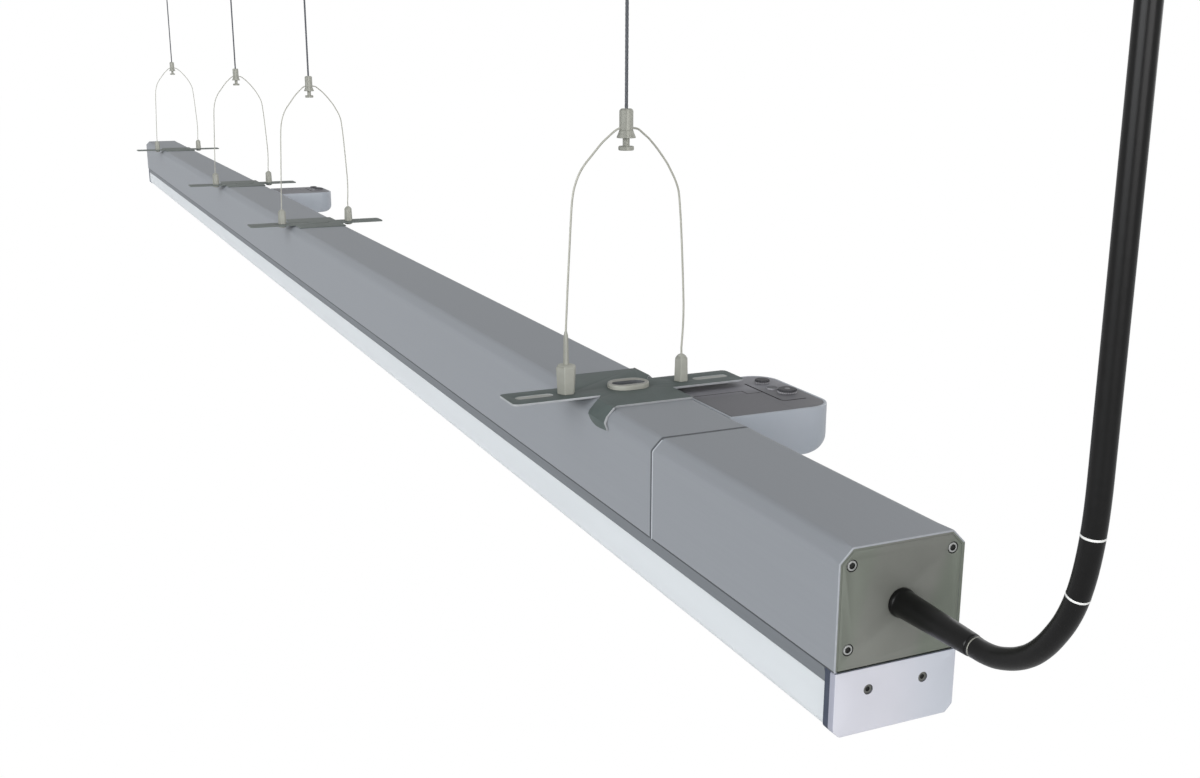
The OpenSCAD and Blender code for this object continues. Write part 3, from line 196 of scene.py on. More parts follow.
def finish(name, dark, light, grain=60.0, stretch=(1, 1, 1), rough=0.45, spread=0.04, metal=0.0, specular=0.5,
           bump=0.0, bumpGrain=900.0, coat=0.0, milky=0.0, paintedLight=()):
    # colour wanders slowly between two shades, with roughness and a fine relief of its own; each fade paints light or
    # shade by multiplying the colour by a tint that comes in along a direction, between two distances in metres
    mat = bpy.data.materials.new(name)
    tree = clearedTree(mat)
    coord = node(tree, "ShaderNodeTexCoord").outputs["Object"]
    place = made(tree, "ShaderNodeMapping", {"Vector": coord, "Scale": stretch})
    noise = node(tree, "ShaderNodeTexNoise", {"Vector": place, "Scale": grain, "Detail": 3.0}).outputs["Fac"]
    ramp = node(tree, "ShaderNodeValToRGB", {0: noise})
    for stop, position, shade in zip(ramp.color_ramp.elements, (0.3, 0.7), (dark, light)):
        stop.position, stop.color = position, linear(shade)
    colour = ramp.outputs[0]
    for towards, start, stop, tint in paintedLight:
        reach = node(tree, "ShaderNodeVectorMath", {0: coord, 1: towards}, operation="DOT_PRODUCT").outputs["Value"]
        come = made(tree, "ShaderNodeMapRange", {"Value": reach, "From Min": start, "From Max": stop},
                    interpolation_type="SMOOTHSTEP")
        colour = node(tree, "ShaderNodeMix", {0: come, 6: colour, 7: tint + (1,)},
                      data_type="RGBA", blend_type="MULTIPLY").outputs[2]
    rougher = made(tree, "ShaderNodeMapRange", {"Value": noise, "To Min": rough - spread, "To Max": rough + spread})
    inputs = {"Base Color": colour, "Roughness": rougher, "Metallic": metal, "Specular IOR Level": specular,
              "Coat Weight": coat, "Coat Roughness": 0.25}
    if milky:
        inputs.update({"Subsurface Weight": milky, "Subsurface Radius": (0.004,) * 3, "Subsurface Scale": 1.0})
    if bump:
        fine = node(tree, "ShaderNodeTexNoise", {"Vector": place, "Scale": bumpGrain, "Detail": 2.0}).outputs["Fac"]
        inputs["Normal"] = made(tree, "ShaderNodeBump", {"Height": fine, "Strength": 0.5, "Distance": bump * mm})
    node(tree, "ShaderNodeOutputMaterial", {"Surface": made(tree, "ShaderNodeBsdfPrincipled", inputs)})
    return mat


# two shades of each finish; grain is in waves per metre, bump in millimetres
paint = {
    "housing": finish("housing_satin", "8D9196", "8F9398", 9, (1, 60, 60), 0.5, 0.03, metal=0.1, specular=0.35,
                      bump=0.003, bumpGrain=40),
    "rim": finish("cut_aluminium", "A2A6AC", "ABAFB4", 300, rough=0.4, metal=0.2),
    "seamHighlight": finish("seam_painted_highlight", "B2B6BC", "B8BCC2", 300, rough=0.5),
    "seamShade": finish("seam_shade", "5C6064", "62666A", 300, rough=0.6),
    # the seal's dark colour, also used as painted shade along the housing's foot
    "seal": finish("seal_dark", "3C3E42", "46484C", 300, rough=0.6),
    "tray": finish("tray_dark", "6D7277", "72777C", 9, (1, 60, 60), 0.5, metal=0.1),
    "diffuser": finish("milky_diffuser", "D1D6D9", "D5DADD", 6, (1, 8, 8), 0.4, 0.02, specular=0.4, milky=0.2,
                       coat=0.1),
    # the plates' two fades are painted shade: soft darker diagonal bands
    "plate": finish("plate_olive_painted_shade", "72746E", "767872", 60, rough=0.5, specular=0.3, bump=0.01, paintedLight=[
        ((0, 0.9, -0.3), 0.145, 0.155, (0.86, 0.93, 0.86)), ((0, -0.97, 0.25), -0.09, -0.08, (0.93, 0.98, 0.93))]),
    "plateShade": finish("recess_shade", "2E302C", "383A36", 300, rough=0.7),
    # the caps' fade is painted shade, darker towards +y
    "cap": finish("cap_white", "CCCDD5", "D1D2DA", 25, rough=0.42, spread=0.02,
                  paintedLight=[((0, 1, 0), -0.01, 0.035, (0.87, 0.91, 0.92))]),
    # painted shade for the caps' sides that face -y
    "capSideShade": finish("cap_side_painted_shade", "9C9EAB", "A2A4B1", 60, rough=0.5),
    "capShade": finish("cap_recess", "76777E", "7C7D84", 100, rough=0.6),
    "gasket": finish("gasket_navy", "333B4C", "3D4556", 200, rough=0.6),
    "bracket": finish("bracket_paint", "505957", "56605E", 90, rough=0.55, specular=0.25, bump=0.01),
    "bracketPlain": finish("bracket_plain", "676D6A", "6E7471", 90, rough=0.55, specular=0.25, bump=0.01),
    "bracketEdgeHighlight": finish("bracket_edge", "A0A3A5", "ABAEB0", 200, metal=0.1),
    "nickel": finish("dull_nickel", "9FA097", "A6A79E", 150, rough=0.5, metal=0.1, specular=0.3),
    "nickelShade": finish("nickel_shade", "86877F", "8C8D85", 150, rough=0.5, metal=0.1, specular=0.3),
    "strip": finish("slot_strip", "9C9E99", "A2A49F", 150, rough=0.5),
    "eyeRing": finish("eyelet_ring", "8C8C84", "959590", 150, rough=0.4, metal=0.25),
    "eyeHoleShade": finish("eyelet_hole_painted_shade", "54575A", "5C5F62", 150, rough=0.6),
    "wire": finish("drawn_wire", "A6A69C", "AEAEA4", 200, rough=0.4, metal=0.1),
    "rope": finish("rope_strands", "4A4D52", "5A5D62", 900, rough=0.5, metal=0.1),
    "rubber": finish("black_rubber", "070707", "0B0B0B", 200, rough=0.3, spread=0.03, specular=0.3, bump=0.004),
    # painted highlights for the cable's rings
    "ring": finish("ring_painted_highlight", "E0E1DE", "E8E9E6", 200, rough=0.5),
    "ringDimHighlight": finish("ring_dim_painted_highlight", "8E8E85", "989890", 200, rough=0.5),
    "screw": finish("screw_steel", "A2A4A2", "AEB0AE", 400, rough=0.36, metal=0.3),
    "screwDark": finish("screw_dark", "62635F", "6E6F6A", 400, metal=0.2),
    "socket": finish("socket_shadow", "1C1E1C", "262826", 400, rough=0.7),
    "boxShell": finish("box_light_grey", "9FA6AE", "A5ABB3", 20, rough=0.36, spread=0.02, coat=0.15),
    # the covers' fades paint light: lighter from under the near wing onwards, against that wing's cast shadow, then
    # partly back down
    "boxCover": finish("box_dark_cover_painted_light", "636367", "69696D", 400, rough=0.52, specular=0.35, bump=0.01,
                       bumpGrain=1500, paintedLight=[((-1, 0, 0), -1.284, -1.26, (1.9, 1.9, 1.92)),
                                              ((-1, 0, 0), -1.1, -1.0, (0.74, 0.74, 0.73))]),
    "boxLine": finish("cover_shade", "38383B", "424245", 400, rough=0.7),
    "dial": finish("dial_dark", "3E3E42", "464649", 500, rough=0.55, specular=0.3),
    "button": finish("button_dark", "56575B", "5E5F63", 500, rough=0.55, specular=0.3),
    "dialRimHighlight": finish("dial_rim_painted_highlight", "929296", "9E9EA1", 500),
    "dialCentre": finish("dial_centre", "77777A", "828285", 500),
    "board": finish("board_green", "1F5A38", "2A6A44", 300, rough=0.4),
    "boardWhite": finish("board_white", "D6D6CC", "E0E0D6", 200),
    "white": finish("plain_white", "CFCFCD", "D6D6D4"),
    "sheetMetal": finish("driver_sheet", "A6A8AA", "B2B4B6", rough=0.4, metal=0.4),
}
print("shop light: finishes mixed")


def smoothByAngle(mesh, degrees):
    mesh.shade_smooth()
    mesh.set_sharp_from_angle(angle=math.radians(degrees))


def toMesh(bm, name, materials=()):
    mesh = bpy.data.meshes.new(name)
    bm.to_mesh(mesh)
    bm.free()
    for mat in materials:
        mesh.materials.append(paint[mat])
    return mesh


def meshOf(bm, name, materials=()):
    bmesh.ops.remove_doubles(bm, verts=bm.verts, dist=1e-6)
    bmesh.ops.recalc_face_normals(bm, faces=bm.faces)
    return toMesh(bm, name, materials)


def bakedMesh(obj):
    # the object's mesh with its modifiers applied, given back to the object
    bpy.context.view_layer.update()
    graph = bpy.context.evaluated_depsgraph_get()
    obj.data = bpy.data.meshes.new_from_object(obj.evaluated_get(graph), depsgraph=graph)
    obj.modifiers.clear()


def dressed(obj, nodes=(), body="luminaire"):
    if body:
        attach(obj, body)
    if nodes:
        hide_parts(*nodes)
    return obj


def addPiece(name, bm, nodes, materials, angle=32, body="luminaire"):
    mesh = meshOf(bm, name, materials)
    smoothByAngle(mesh, angle)
    return dressed(addObject(name, mesh), nodes, body)


def shadeLeft(obj, limit):
    # the photographed left sides of the small bright pieces are a shade darker
    for polygon in obj.data.polygons:
        if polygon.normal.y < limit:
            polygon.material_index = 1


def addRings(bm, rings, material=0, loop=False):
    # joins rings into a skin with closed ends, or into a loop; material is one index or one for each strip
    rows = [[bm.verts.new(p) for p in ring] for ring in rings]
    count = len(rows[0])
    pairs = list(zip(rows, rows[1:]))
    if loop:
        pairs.append((rows[-1], rows[0]))
    strips = material if isinstance(material, list) else [material] * len(pairs)
    for (a, b), strip in zip(pairs, strips):
        for k in range(count):
            bm.faces.new((a[k], a[(k + 1) % count], b[(k + 1) % count], b[k])).material_index = strip
    if not loop:
        for row in (list(reversed(rows[0])), rows[-1]):
            bm.faces.new(row).material_index = strips[0]


def circle(middle, radius, count, side, other):
    angles = [fullTurn * k / count for k in range(count)]
    return [middle + radius * (math.cos(a) * side + math.sin(a) * other) for a in angles]


def turned(bm, profile, at, axis="z", sides=48, material=0, loop=False):
    # profile: radius and distance along the axis, in mm
    rings = []
    for r, h in profile:
        ring = []
        for k in range(sides):
            a = fullTurn * k / sides
            x, y = r * math.cos(a), r * math.sin(a)
            p = Vector((x, y, h)) if axis == "z" else Vector((h, x, y))
            ring.append(p * mm + at)
        rings.append(ring)
    addRings(bm, rings, material, loop)


def roundedOutline(points, radii, steps=4, hold=0.0):
    # hold adds a point on each flat beside a corner, so that the flat keeps its own shading
    out = []
    count = len(points)
    for i, p in enumerate(points):
        here = Vector(p)
        a = (Vector(points[i - 1]) - here).normalized()
        b = (Vector(points[(i + 1) % count]) - here).normalized()
        half = a.angle(b) / 2
        reach = radii[i] / math.tan(half)
        middle = here + (a + b).normalized() * (radii[i] / math.sin(half))
        first, last = (here + a * reach - middle).normalized(), (here + b * reach - middle).normalized()
        if hold:
            out.append(here + a * (reach + hold))
        for k in range(steps + 1):
            out.append(middle + first.slerp(last, k / steps) * radii[i])
        if hold:
            out.append(here + b * (reach + hold))
    return out


def across(outline, x):
    # an outline of (across, up) in mm, set at one place along the light
    return [spot(x, y, z) for y, z in outline]


def mirroredHalf(half):
    return half + [(-y, z) for y, z in reversed(half)]


def cutAway(obj, cutters):
    # takes the cutters' shapes out of a piece
    mesh = meshOf(cutters, "cutter")
    tool = addObject("cutter", mesh)
    modifier = obj.modifiers.new("cut", "BOOLEAN")
    modifier.operation, modifier.solver, modifier.object = "DIFFERENCE", "EXACT", tool
    bakedMesh(obj)
    bpy.data.objects.remove(tool)
    bpy.data.meshes.remove(mesh)


copyBevel = {"weld": 2e-6, "flat": 1.0, "segments": 2, "angle": 30}


def bevelledCopy(solid, width, materials, pick=None, smooth=36, body="luminaire"):
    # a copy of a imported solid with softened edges; pick chooses a finish by a face's middle and direction
    bm = bmesh.new()
    bm.from_mesh(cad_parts[solid].data)
    bmesh.ops.remove_doubles(bm, verts=bm.verts, dist=copyBevel["weld"])
    bmesh.ops.dissolve_limit(bm, angle_limit=math.radians(copyBevel["flat"]), verts=bm.verts, edges=bm.edges)
    name = solid + "_dressed"
    obj = addObject(name, toMesh(bm, name, materials))
    if width:
        bevel = obj.modifiers.new("edges", "BEVEL")
        bevel.width, bevel.segments = width * mm, copyBevel["segments"]
        bevel.limit_method, bevel.angle_limit = "ANGLE", math.radians(copyBevel["angle"])
        bakedMesh(obj)
    for polygon in obj.data.polygons:
        polygon.material_index = pick(polygon.center, polygon.normal) if pick else 0
    smoothByAngle(obj.data, smooth)
    dressed(obj, [solid], body)


def smoothCurve(points, steps):
    out = []
    last = len(points) - 1
    for i in range(last):
        a, b, c, d = points[max(i - 1, 0)], points[i], points[i + 1], points[min(i + 2, last)]
        for k in range(steps):
            t = k / steps
            out.append(0.5 * (2 * b + (c - a) * t + (2 * a - 5 * b + 4 * c - d) * t * t
                              + (3 * b - a - 3 * c + d) * t * t * t))
    return out + [points[-1]]


def newTree(name, **kinds):
    # a tree with the named inputs between its points and its material
    tree = bpy.data.node_groups.new(name, "GeometryNodeTree")
    for label, kind in {"Points": "Geometry", **kinds, "Material": "Material"}.items():
        tree.interface.new_socket(label, in_out="INPUT", socket_type="NodeSocket" + kind)
    tree.interface.new_socket("Geometry", in_out="OUTPUT", socket_type="NodeSocketGeometry")
    return tree, tree.nodes.new("NodeGroupInput").outputs


def closedTree(tree, geometry, start, **choice):
    real = made(tree, "GeometryNodeRealizeInstances", {0: geometry})
    coloured = made(tree, "GeometryNodeSetMaterial", {"Geometry": real, "Material": start["Material"], **choice})
    node(tree, "NodeGroupOutput", {0: coloured})
    return tree


def grow(name, tree, values, points=(), edges=()):
    mesh = bpy.data.meshes.new(name)
    mesh.from_pydata(points, edges, [])
    obj = addObject(name, mesh)
    modifier = obj.modifiers.new("grow", "NODES")
    modifier.node_group = tree
    for label, value in values.items():
        modifier[tree.interface.items_tree[label].identifier] = value
    bakedMesh(obj)
    return obj


cable = {
    "diameter": 11.0, "sides": 32, "steps": 6,
    # along from the near end and up from the top face, in mm
    "route": [(58, -35.5), (66, -35.5), (74, -34.4), (82, -31.8), (90, -28), (98, -22.5), (105, -15.5), (111, -7.5),
              (116.5, 1.5), (121, 12), (124.3, 24), (126.5, 37), (127.8, 50), (128.4, 64), (128.5, 80), (128.5, 110),
              (128.5, 150), (128.5, 200), (128.5, 250), (128.5, 300), (128.5, 358)],
    # place, finish and width of each ring; each ring is a slight ridge round the cable, coloured as a painted
    # highlight, the first a dimmer one
    "rings": [(60.0, -35.5, "ringDimHighlight", 0.7), (122.0, 15.0, "ring", 1.1), (127.4, 45.5, "ring", 1.1)],
    "ringR": 5.62, "ringInside": 5.3, "ringSides": 40,
    "stretch": (62, 340),  # heights between which the cable gives when the light is raised
}


def makeCable():
    path = smoothCurve([spot(nearX + x * mm, 0, z) for x, z in cable["route"]], cable["steps"])
    side = Vector((0, 1, 0))
    bm = bmesh.new()
    rings = []
    for i, p in enumerate(path):
        ahead = (path[min(i + 1, len(path) - 1)] - path[max(i - 1, 0)]).normalized()
        rings.append(circle(p, cable["diameter"] / 2 * mm, cable["sides"], side, ahead.cross(side)))
    addRings(bm, rings)
    obj = addPiece("power_cable_skin", bm, ["power_cable"], ["rubber"], 50, None)
    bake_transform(obj)
    length = sum((b - a).length for a, b in zip(path, path[1:]))
    tuple(path[0])
    [tuple(p) for p in path]

    r, inside = cable["ringR"], cable["ringInside"]
    for k, (x, z, mat, width) in enumerate(cable["rings"]):
        at = spot(nearX + x * mm, 0, z)
        near = min(range(1, len(path) - 1), key=lambda i: (path[i] - at).length)
        ahead = (path[near + 1] - path[near - 1]).normalized()
        bm = bmesh.new()
        addRings(bm, [circle(path[near] + ahead * (s * width / 2 * mm), q * mm, cable["ringSides"], side,
                             ahead.cross(side))
                      for s, q in ((-1, inside), (-1, r - 0.08), (-0.7, r), (0.7, r), (1, r - 0.08), (1, inside))],
                 loop=True)
        addPiece("cable_ring_%d" % (k + 1), bm, [], [mat], 40)
    print("shop light: power cable", round(length, 3), "m")


makeCable()


rope = {"diameter": 2.6, "strands": 6, "lay": 22.0, "ringsPerTurn": 9, "strandShare": 0.36, "strandSides": 6,
        "pathSteps": 40}


def ropeTree():
    # strands laid round a line that rises from a foot
    tree, start = newTree("twistedRope", Length="Float", Radius="Float", Strands="Int", Turns="Float", Rings="Int",
                          Foot="Vector")
    line = made(tree, "GeometryNodeCurvePrimitiveLine", {
        "End": made(tree, "ShaderNodeCombineXYZ", {"Z": start["Length"]})})
    fine = made(tree, "GeometryNodeResampleCurve", {"Curve": line, "Count": start["Rings"]})
    copies = node(tree, "GeometryNodeDuplicateElements", {"Geometry": fine, "Amount": start["Strands"]},
                  domain="SPLINE").outputs
    along = node(tree, "GeometryNodeSplineParameter").outputs["Factor"]
    turns = worked(tree, "ADD", worked(tree, "MULTIPLY", along, start["Turns"]),
                   worked(tree, "DIVIDE", copies["Duplicate Index"], start["Strands"]))
    angle = worked(tree, "MULTIPLY", turns, fullTurn)
    strand = worked(tree, "MULTIPLY", start["Radius"], rope["strandShare"])
    arm = worked(tree, "SUBTRACT", start["Radius"], strand)
    x, y = (worked(tree, "MULTIPLY", worked(tree, wave, angle), arm) for wave in ("COSINE", "SINE"))
    laid = made(tree, "GeometryNodeSetPosition", {
        "Geometry": copies["Geometry"], "Offset": made(tree, "ShaderNodeCombineXYZ", {"X": x, "Y": y})})
    ring = made(tree, "GeometryNodeCurvePrimitiveCircle", {"Resolution": rope["strandSides"], "Radius": strand})
    skin = made(tree, "GeometryNodeCurveToMesh", {"Curve": laid, "Profile Curve": ring, "Fill Caps": True})
    moved = made(tree, "GeometryNodeTransform", {"Geometry": skin, "Translation": start["Foot"]})
    return closedTree(tree, moved, start)


def makeRopes():
    tree = ropeTree()
    for i, x in enumerate(hangers):
        low, high = (corner.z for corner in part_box("rope_%d" % (i + 1)))
        length = high - low
        turns = length / (rope["lay"] * mm)
        obj = grow("rope_%d_strands" % (i + 1), tree, {
            "Length": length, "Radius": rope["diameter"] / 2 * mm, "Strands": rope["strands"], "Turns": turns,
            "Rings": int(turns * rope["ringsPerTurn"]), "Foot": (x, 0.0, low), "Material": paint["rope"]})
        smoothByAngle(obj.data, 50)
        dressed(obj, ["rope_%d" % (i + 1)], "ceiling")
    print("shop light: ropes")


makeRopes()


def repeatTree():
    # puts one small part on every point, turned as asked
    tree, start = newTree("repeatedPart", Part="Object", Turn="Vector")
    part = node(tree, "GeometryNodeObjectInfo", {"Object": start["Part"]}).outputs["Geometry"]
    copies = made(tree, "GeometryNodeInstanceOnPoints", {
        "Points": start["Points"], "Instance": part, "Rotation": start["Turn"]})
    number = made(tree, "GeometryNodeInputMaterialIndex")
    first = made(tree, "FunctionNodeCompare", {"A": number, "B": 0}, data_type="INT", operation="EQUAL")
    return closedTree(tree, copies, start, Selection=first)


def wireTree():
    # a round tube along every chain of points
    tree, start = newTree("roundWire", Radius="Float", Sides="Int", Steps="Int")
    curve = made(tree, "GeometryNodeMeshToCurve", {0: start["Points"]})
    kind = made(tree, "GeometryNodeCurveSplineType", {"Curve": curve}, spline_type="CATMULL_ROM")
    fine = made(tree, "GeometryNodeSetSplineResolution", {0: kind, "Resolution": start["Steps"]})
    ring = made(tree, "GeometryNodeCurvePrimitiveCircle", {"Resolution": start["Sides"], "Radius": start["Radius"]})
    skin = made(tree, "GeometryNodeCurveToMesh", {"Curve": fine, "Profile Curve": ring, "Fill Caps": True})
    return closedTree(tree, skin, start)


repeatedPart = repeatTree()
roundWire = wireTree()


def spread(name, part, points, turn, mat):
    # copies of a small mesh at points, as one mesh
    single = addObject("single", part)
    obj = grow(name, repeatedPart, {"Part": single, "Turn": (0.0, 0.0, turn), "Material": paint[mat]}, points)
    smoothByAngle(obj.data, 34)
    bpy.data.objects.remove(single)
    return obj


def joined(name, parts, nodes):
    # several meshes as one piece
    bm = bmesh.new()
    for part in parts:
        bm.from_mesh(part.data)
    mesh = toMesh(bm, name)
    for mat in parts[0].data.materials:
        mesh.materials.append(mat)
    for part in parts:
        bpy.data.objects.remove(part)
    smoothByAngle(mesh, 34)
    dressed(addObject(name, mesh), nodes)


relief = {"tip": 58, "flange": 8.2, "foot": 7.6, "end": 6.0, "neck": 6.0, "depth": 35.5}


def makeRelief():
    tip, flange, foot, end, neck = (relief[key] for key in ("tip", "flange", "foot", "end", "neck"))
    taper = [(foot + (end - foot) * k / 6 - 0.02, 6 + (tip - 7) * k / 6) for k in range(7)]
    bm = bmesh.new()
    turned(bm, [(neck, -12), (neck, 0), (flange - 0.3, 0), (flange, 0.3), (flange, 2.4), (flange - 0.35, 3.0),
                (7.75, 3.3), (foot, 4.2)] + taper + [(end - 0.12, tip - 0.4), (end - 0.4, tip)],
           spot(nearX, 0, -relief["depth"]), "x", 64)
    addPiece("strain_relief_sleeve", bm, ["strain_relief"], ["rubber"], 40)
    print("shop light: strain relief")


makeRelief()


housing = {
    "chamfer": 8.0, "height": 69.0, "wall": 2.0, "corner": 7.0, "foot": 0.5, "hold": 0.6, "mouthBevel": 0.35,
    "mouthCorner": 1.0, "easing": 14.0, "rim": 0.9, "smooth": 25,
    "seamBevel": 0.3, "seamCorner": 3.5, "seamHighlight": 1.5, "seamDark": 0.7,
    "portInset": 6.0, "portZs": (-10.0, -57.0), "portR": 4.0, "portHole": 1.65, "portStart": 3.2,
    "webFrom": 3.4, "webHalf": 2,
}
bareCorner = 2 - math.sqrt(2)  # what a wall takes off a 45 degree chamfer inside
ports = [(side * (halfW - housing["wall"] - housing["portInset"]), z) for side in (-1, 1) for z in housing["portZs"]]


def housingPiece(solid, name, nearBevel, farBevel, cutters=None):
    low, high = (corner.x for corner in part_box(solid))
    h = housing
    c, w, height = h["chamfer"], h["wall"], h["height"]
    seamFar = solid == "housing_near"
    farCorner, nearCorner = h["mouthCorner"], h["seamCorner"]
    if seamFar:
        farCorner, nearCorner = nearCorner, farCorner

    def outline(half, top, foot, chamfer, radii):
        points = [(-half, foot), (half, foot), (half, top - chamfer), (half - chamfer, top), (chamfer - half, top),
                  (-half, top - chamfer)]
        return roundedOutline(points, radii, 5, h["hold"])

    def endSkins(bevel, line, corner):
        # from the mouth inwards: outline and distance from the end
        rows = [(h["rim"], corner, 0), (bevel, corner, 0), (bevel * 0.3, corner, bevel * 0.3), (0, corner, bevel),
                (0, corner, bevel + line), (0, h["corner"], h["easing"])]
        return [(outline(halfW - inset, -inset, -height + inset, c - inset * 0.58, [h["foot"]] * 2 + [r] * 4), away)
                for inset, r, away in rows]

    inner = outline(halfW - w, -w, -height, c - w * bareCorner, [0.2] * 2 + [2] * 4)
    # finishes: 0 body, 1 bright rim, 2 dark as the seal and painted shade along the foot, 3 as the end plate, 4 a
    # painted highlight and 5 a dark line along the seam
    far = [2, 4, 4, 4, 4] if seamFar else [3, 1, 1, 1, 0]
    near = [0, 1, 1, 1, 3] if seamFar else [5, 5, 5, 2, 2]
    bm = bmesh.new()
    addRings(bm, [across(inner, low)]
             + [across(skin, low + away * mm) for skin, away in endSkins(farBevel, h["seamHighlight"], farCorner)]
             + [across(skin, high - away * mm) for skin, away in endSkins(nearBevel, h["seamDark"], nearCorner)[::-1]]
             + [across(inner, high)], far + [0, 0, 0] + near + [0], loop=True)
    for face in bm.faces:
        middle, index = face.calc_center_median(), face.material_index
        up = (middle.z - topZ) / mm
        # along the top, the seam's painted highlight band is dark instead
        if index == 4 and up > -1.2:
            face.material_index = 5
        elif index == 1 and middle.y > (halfW - 1.2) * mm and up < -c:
            face.material_index = 3
        # a narrow band along the foot of each side wall gets painted shade
        elif index == 0 and up < -height + 1.15 and abs(middle.y) > (halfW - 0.6) * mm:
            face.material_index = 2
    # screw ports inside the four corners, each on its web
    start = low + (h["portStart"] * mm if low == farX else 0)
    stop = high - (h["portStart"] * mm if high == nearX else 0)
    for y, z in ports:
        addRings(bm, [circle(spot(x, y, z), r * mm, 24, Vector((0, 1, 0)), Vector((0, 0, 1))) for r, x in (
            (h["portHole"], start), (h["portR"], start), (h["portR"], stop), (h["portHole"], stop))], loop=True)
        side = math.copysign(1, y)
        root, foot = y + side * h["webFrom"], side * (halfW - w + 0.3)
        web = [(root, z - h["webHalf"]), (foot, z - h["webHalf"]), (foot, z + h["webHalf"]), (root, z + h["webHalf"])]
        addRings(bm, [across(web, start), across(web, stop)])
    obj = addPiece(name, bm, [solid],
                   ["housing", "rim", "seal", "plate", "seamHighlight", "seamShade"], h["smooth"])
    if cutters:
        cutAway(obj, cutters)
        smoothByAngle(obj.data, h["smooth"])


def obround(x, y, z, straight, width, steps=16):
    # slot outline with round ends across the light
    out = []
    for end in (1, -1):
        for k in range(steps + 1):
            a = math.pi * (k + (0 if end > 0 else steps)) / steps
            out.append(spot(x + width / 2 * math.cos(a) * mm, y + end * straight / 2 + width / 2 * math.sin(a), z))
    return out


eyelet = {"out": 3.0, "length": 32.0, "width": 23.0, "holeLength": 26.0, "holeWidth": 12.5, "wall": 1.5,
          "height": 3.5, "low": 1.6, "plug": 0.6, "smooth": 40}
sheet = 1.6  # thickness of the brackets' sheet metal


def makeHousing():
    slots = bmesh.new()
    barrel = eyelet["holeWidth"] + 2 * eyelet["wall"] + 0.3
    straight = eyelet["holeLength"] - eyelet["holeWidth"]
    for x in hangers:
        addRings(slots, [obround(x, eyelet["out"], z, straight, barrel) for z in (-3.6, 2)])
    housingPiece("housing_near", "housing_near_shell", housing["mouthBevel"], housing["seamBevel"])
    housingPiece("housing_main", "housing_main_shell", housing["seamBevel"], housing["mouthBevel"], slots)
    bevelledCopy("joint_seal", 0, ["seal"])
    bevelledCopy("joint_splices", 0.3, ["sheetMetal"])
    print("shop light: housing")


makeHousing()


channel = {"inset": 9.3, "skirt": 9.6, "slope": 2.0, "trayT": 2.4, "ribH": 3.0, "ribT": 2.0, "gap": 0.15,
           "height": 28.5, "wall": 2.0, "chamfer": 4.5, "corner": 6.0, "tongue": 6.0, "smooth": 25}


def extruded(name, outline, solid, mat):
    bm = bmesh.new()
    inset = channel["inset"] * mm
    addRings(bm, [across(outline, x) for x in (farX + inset, nearX - inset)])
    addPiece(name, bm, [solid], [mat], channel["smooth"])


def makeChannel():
    c = channel
    foot = -housing["height"]
    ribOut = halfW - housing["wall"] - c["gap"]
    skirtZ = foot - c["skirt"]
    half = halfW - c["slope"]
    inner = half - c["trayT"]
    tray = mirroredHalf([(ribOut - c["ribT"], foot), (ribOut - c["ribT"], foot + c["ribH"]),
                         (ribOut, foot + c["ribH"]), (ribOut, foot), (halfW, foot), (half, skirtZ), (inner, skirtZ),
                         (inner, foot - c["trayT"])])
    soft = [0.3, 0.5, 0.5, 0.3, 0.4, 0.4, 0.4, 0.5]
    extruded("light_tray_skin", roundedOutline(tray, soft + soft[::-1], 3, 0.3), "light_tray", "tray")

    low = skirtZ - c["height"]
    tongue = inner - c["gap"]
    room = half - c["wall"]
    bevel = c["chamfer"] - c["wall"] * bareCorner
    outside = [(tongue - c["wall"], skirtZ + c["tongue"]), (tongue, skirtZ + c["tongue"]), (tongue, skirtZ),
               (half, skirtZ), (half, low + c["chamfer"]), (half - c["chamfer"], low)]
    inside = [(tongue - c["wall"], skirtZ - c["wall"]), (room, skirtZ - c["wall"]),
              (room, low + c["wall"] + bevel), (room - bevel, low + c["wall"])]
    outR, inR = [0.4, 0.4, 0.3, 0.5, c["corner"], c["corner"]], [0.4, 0.4, 4, 4]
    # the loop runs down one side, up the other outside and back along the inner wall
    loop = mirroredHalf(outside) + [(-y, z) for y, z in inside] + inside[::-1]
    radii = outR + outR[::-1] + inR + inR[::-1]
    extruded("diffuser_skin", roundedOutline(loop, radii, 6, 0.5), "diffuser", "diffuser")
    print("shop light: light channel")


makeChannel()


cap = {
    "inset": 0.8, "thickness": 4.5, "lip": 0.6, "corner": 2.5, "topCorner": 1.2, "edge": 0.8, "smooth": 28,
    "screwY": 17.7, "screwDrop": 12.7, "screwSink": 0.6, "recess": 3.0, "recessGap": 0.15,
    "screw": {"headR": 2.8, "headT": 2.7, "socketR": 1.5, "socketDepth": 1.1, "shankR": 1.5, "shankL": 6.0},
}
capTop = -housing["height"] - cap["lip"]


def capSkin(inset, top):
    low = -housing["height"] - channel["skirt"] - channel["height"] - channel["gap"] + inset
    half, chamfer, high = halfW - cap["inset"] - inset, channel["chamfer"], top - inset
    points = [(-half, high), (-half, low + chamfer), (chamfer - half, low), (half - chamfer, low),
              (half, low + chamfer), (half, high)]
    return roundedOutline(points, [cap["topCorner"]] + [cap["corner"]] * 4 + [cap["topCorner"]], 6, 0.5)


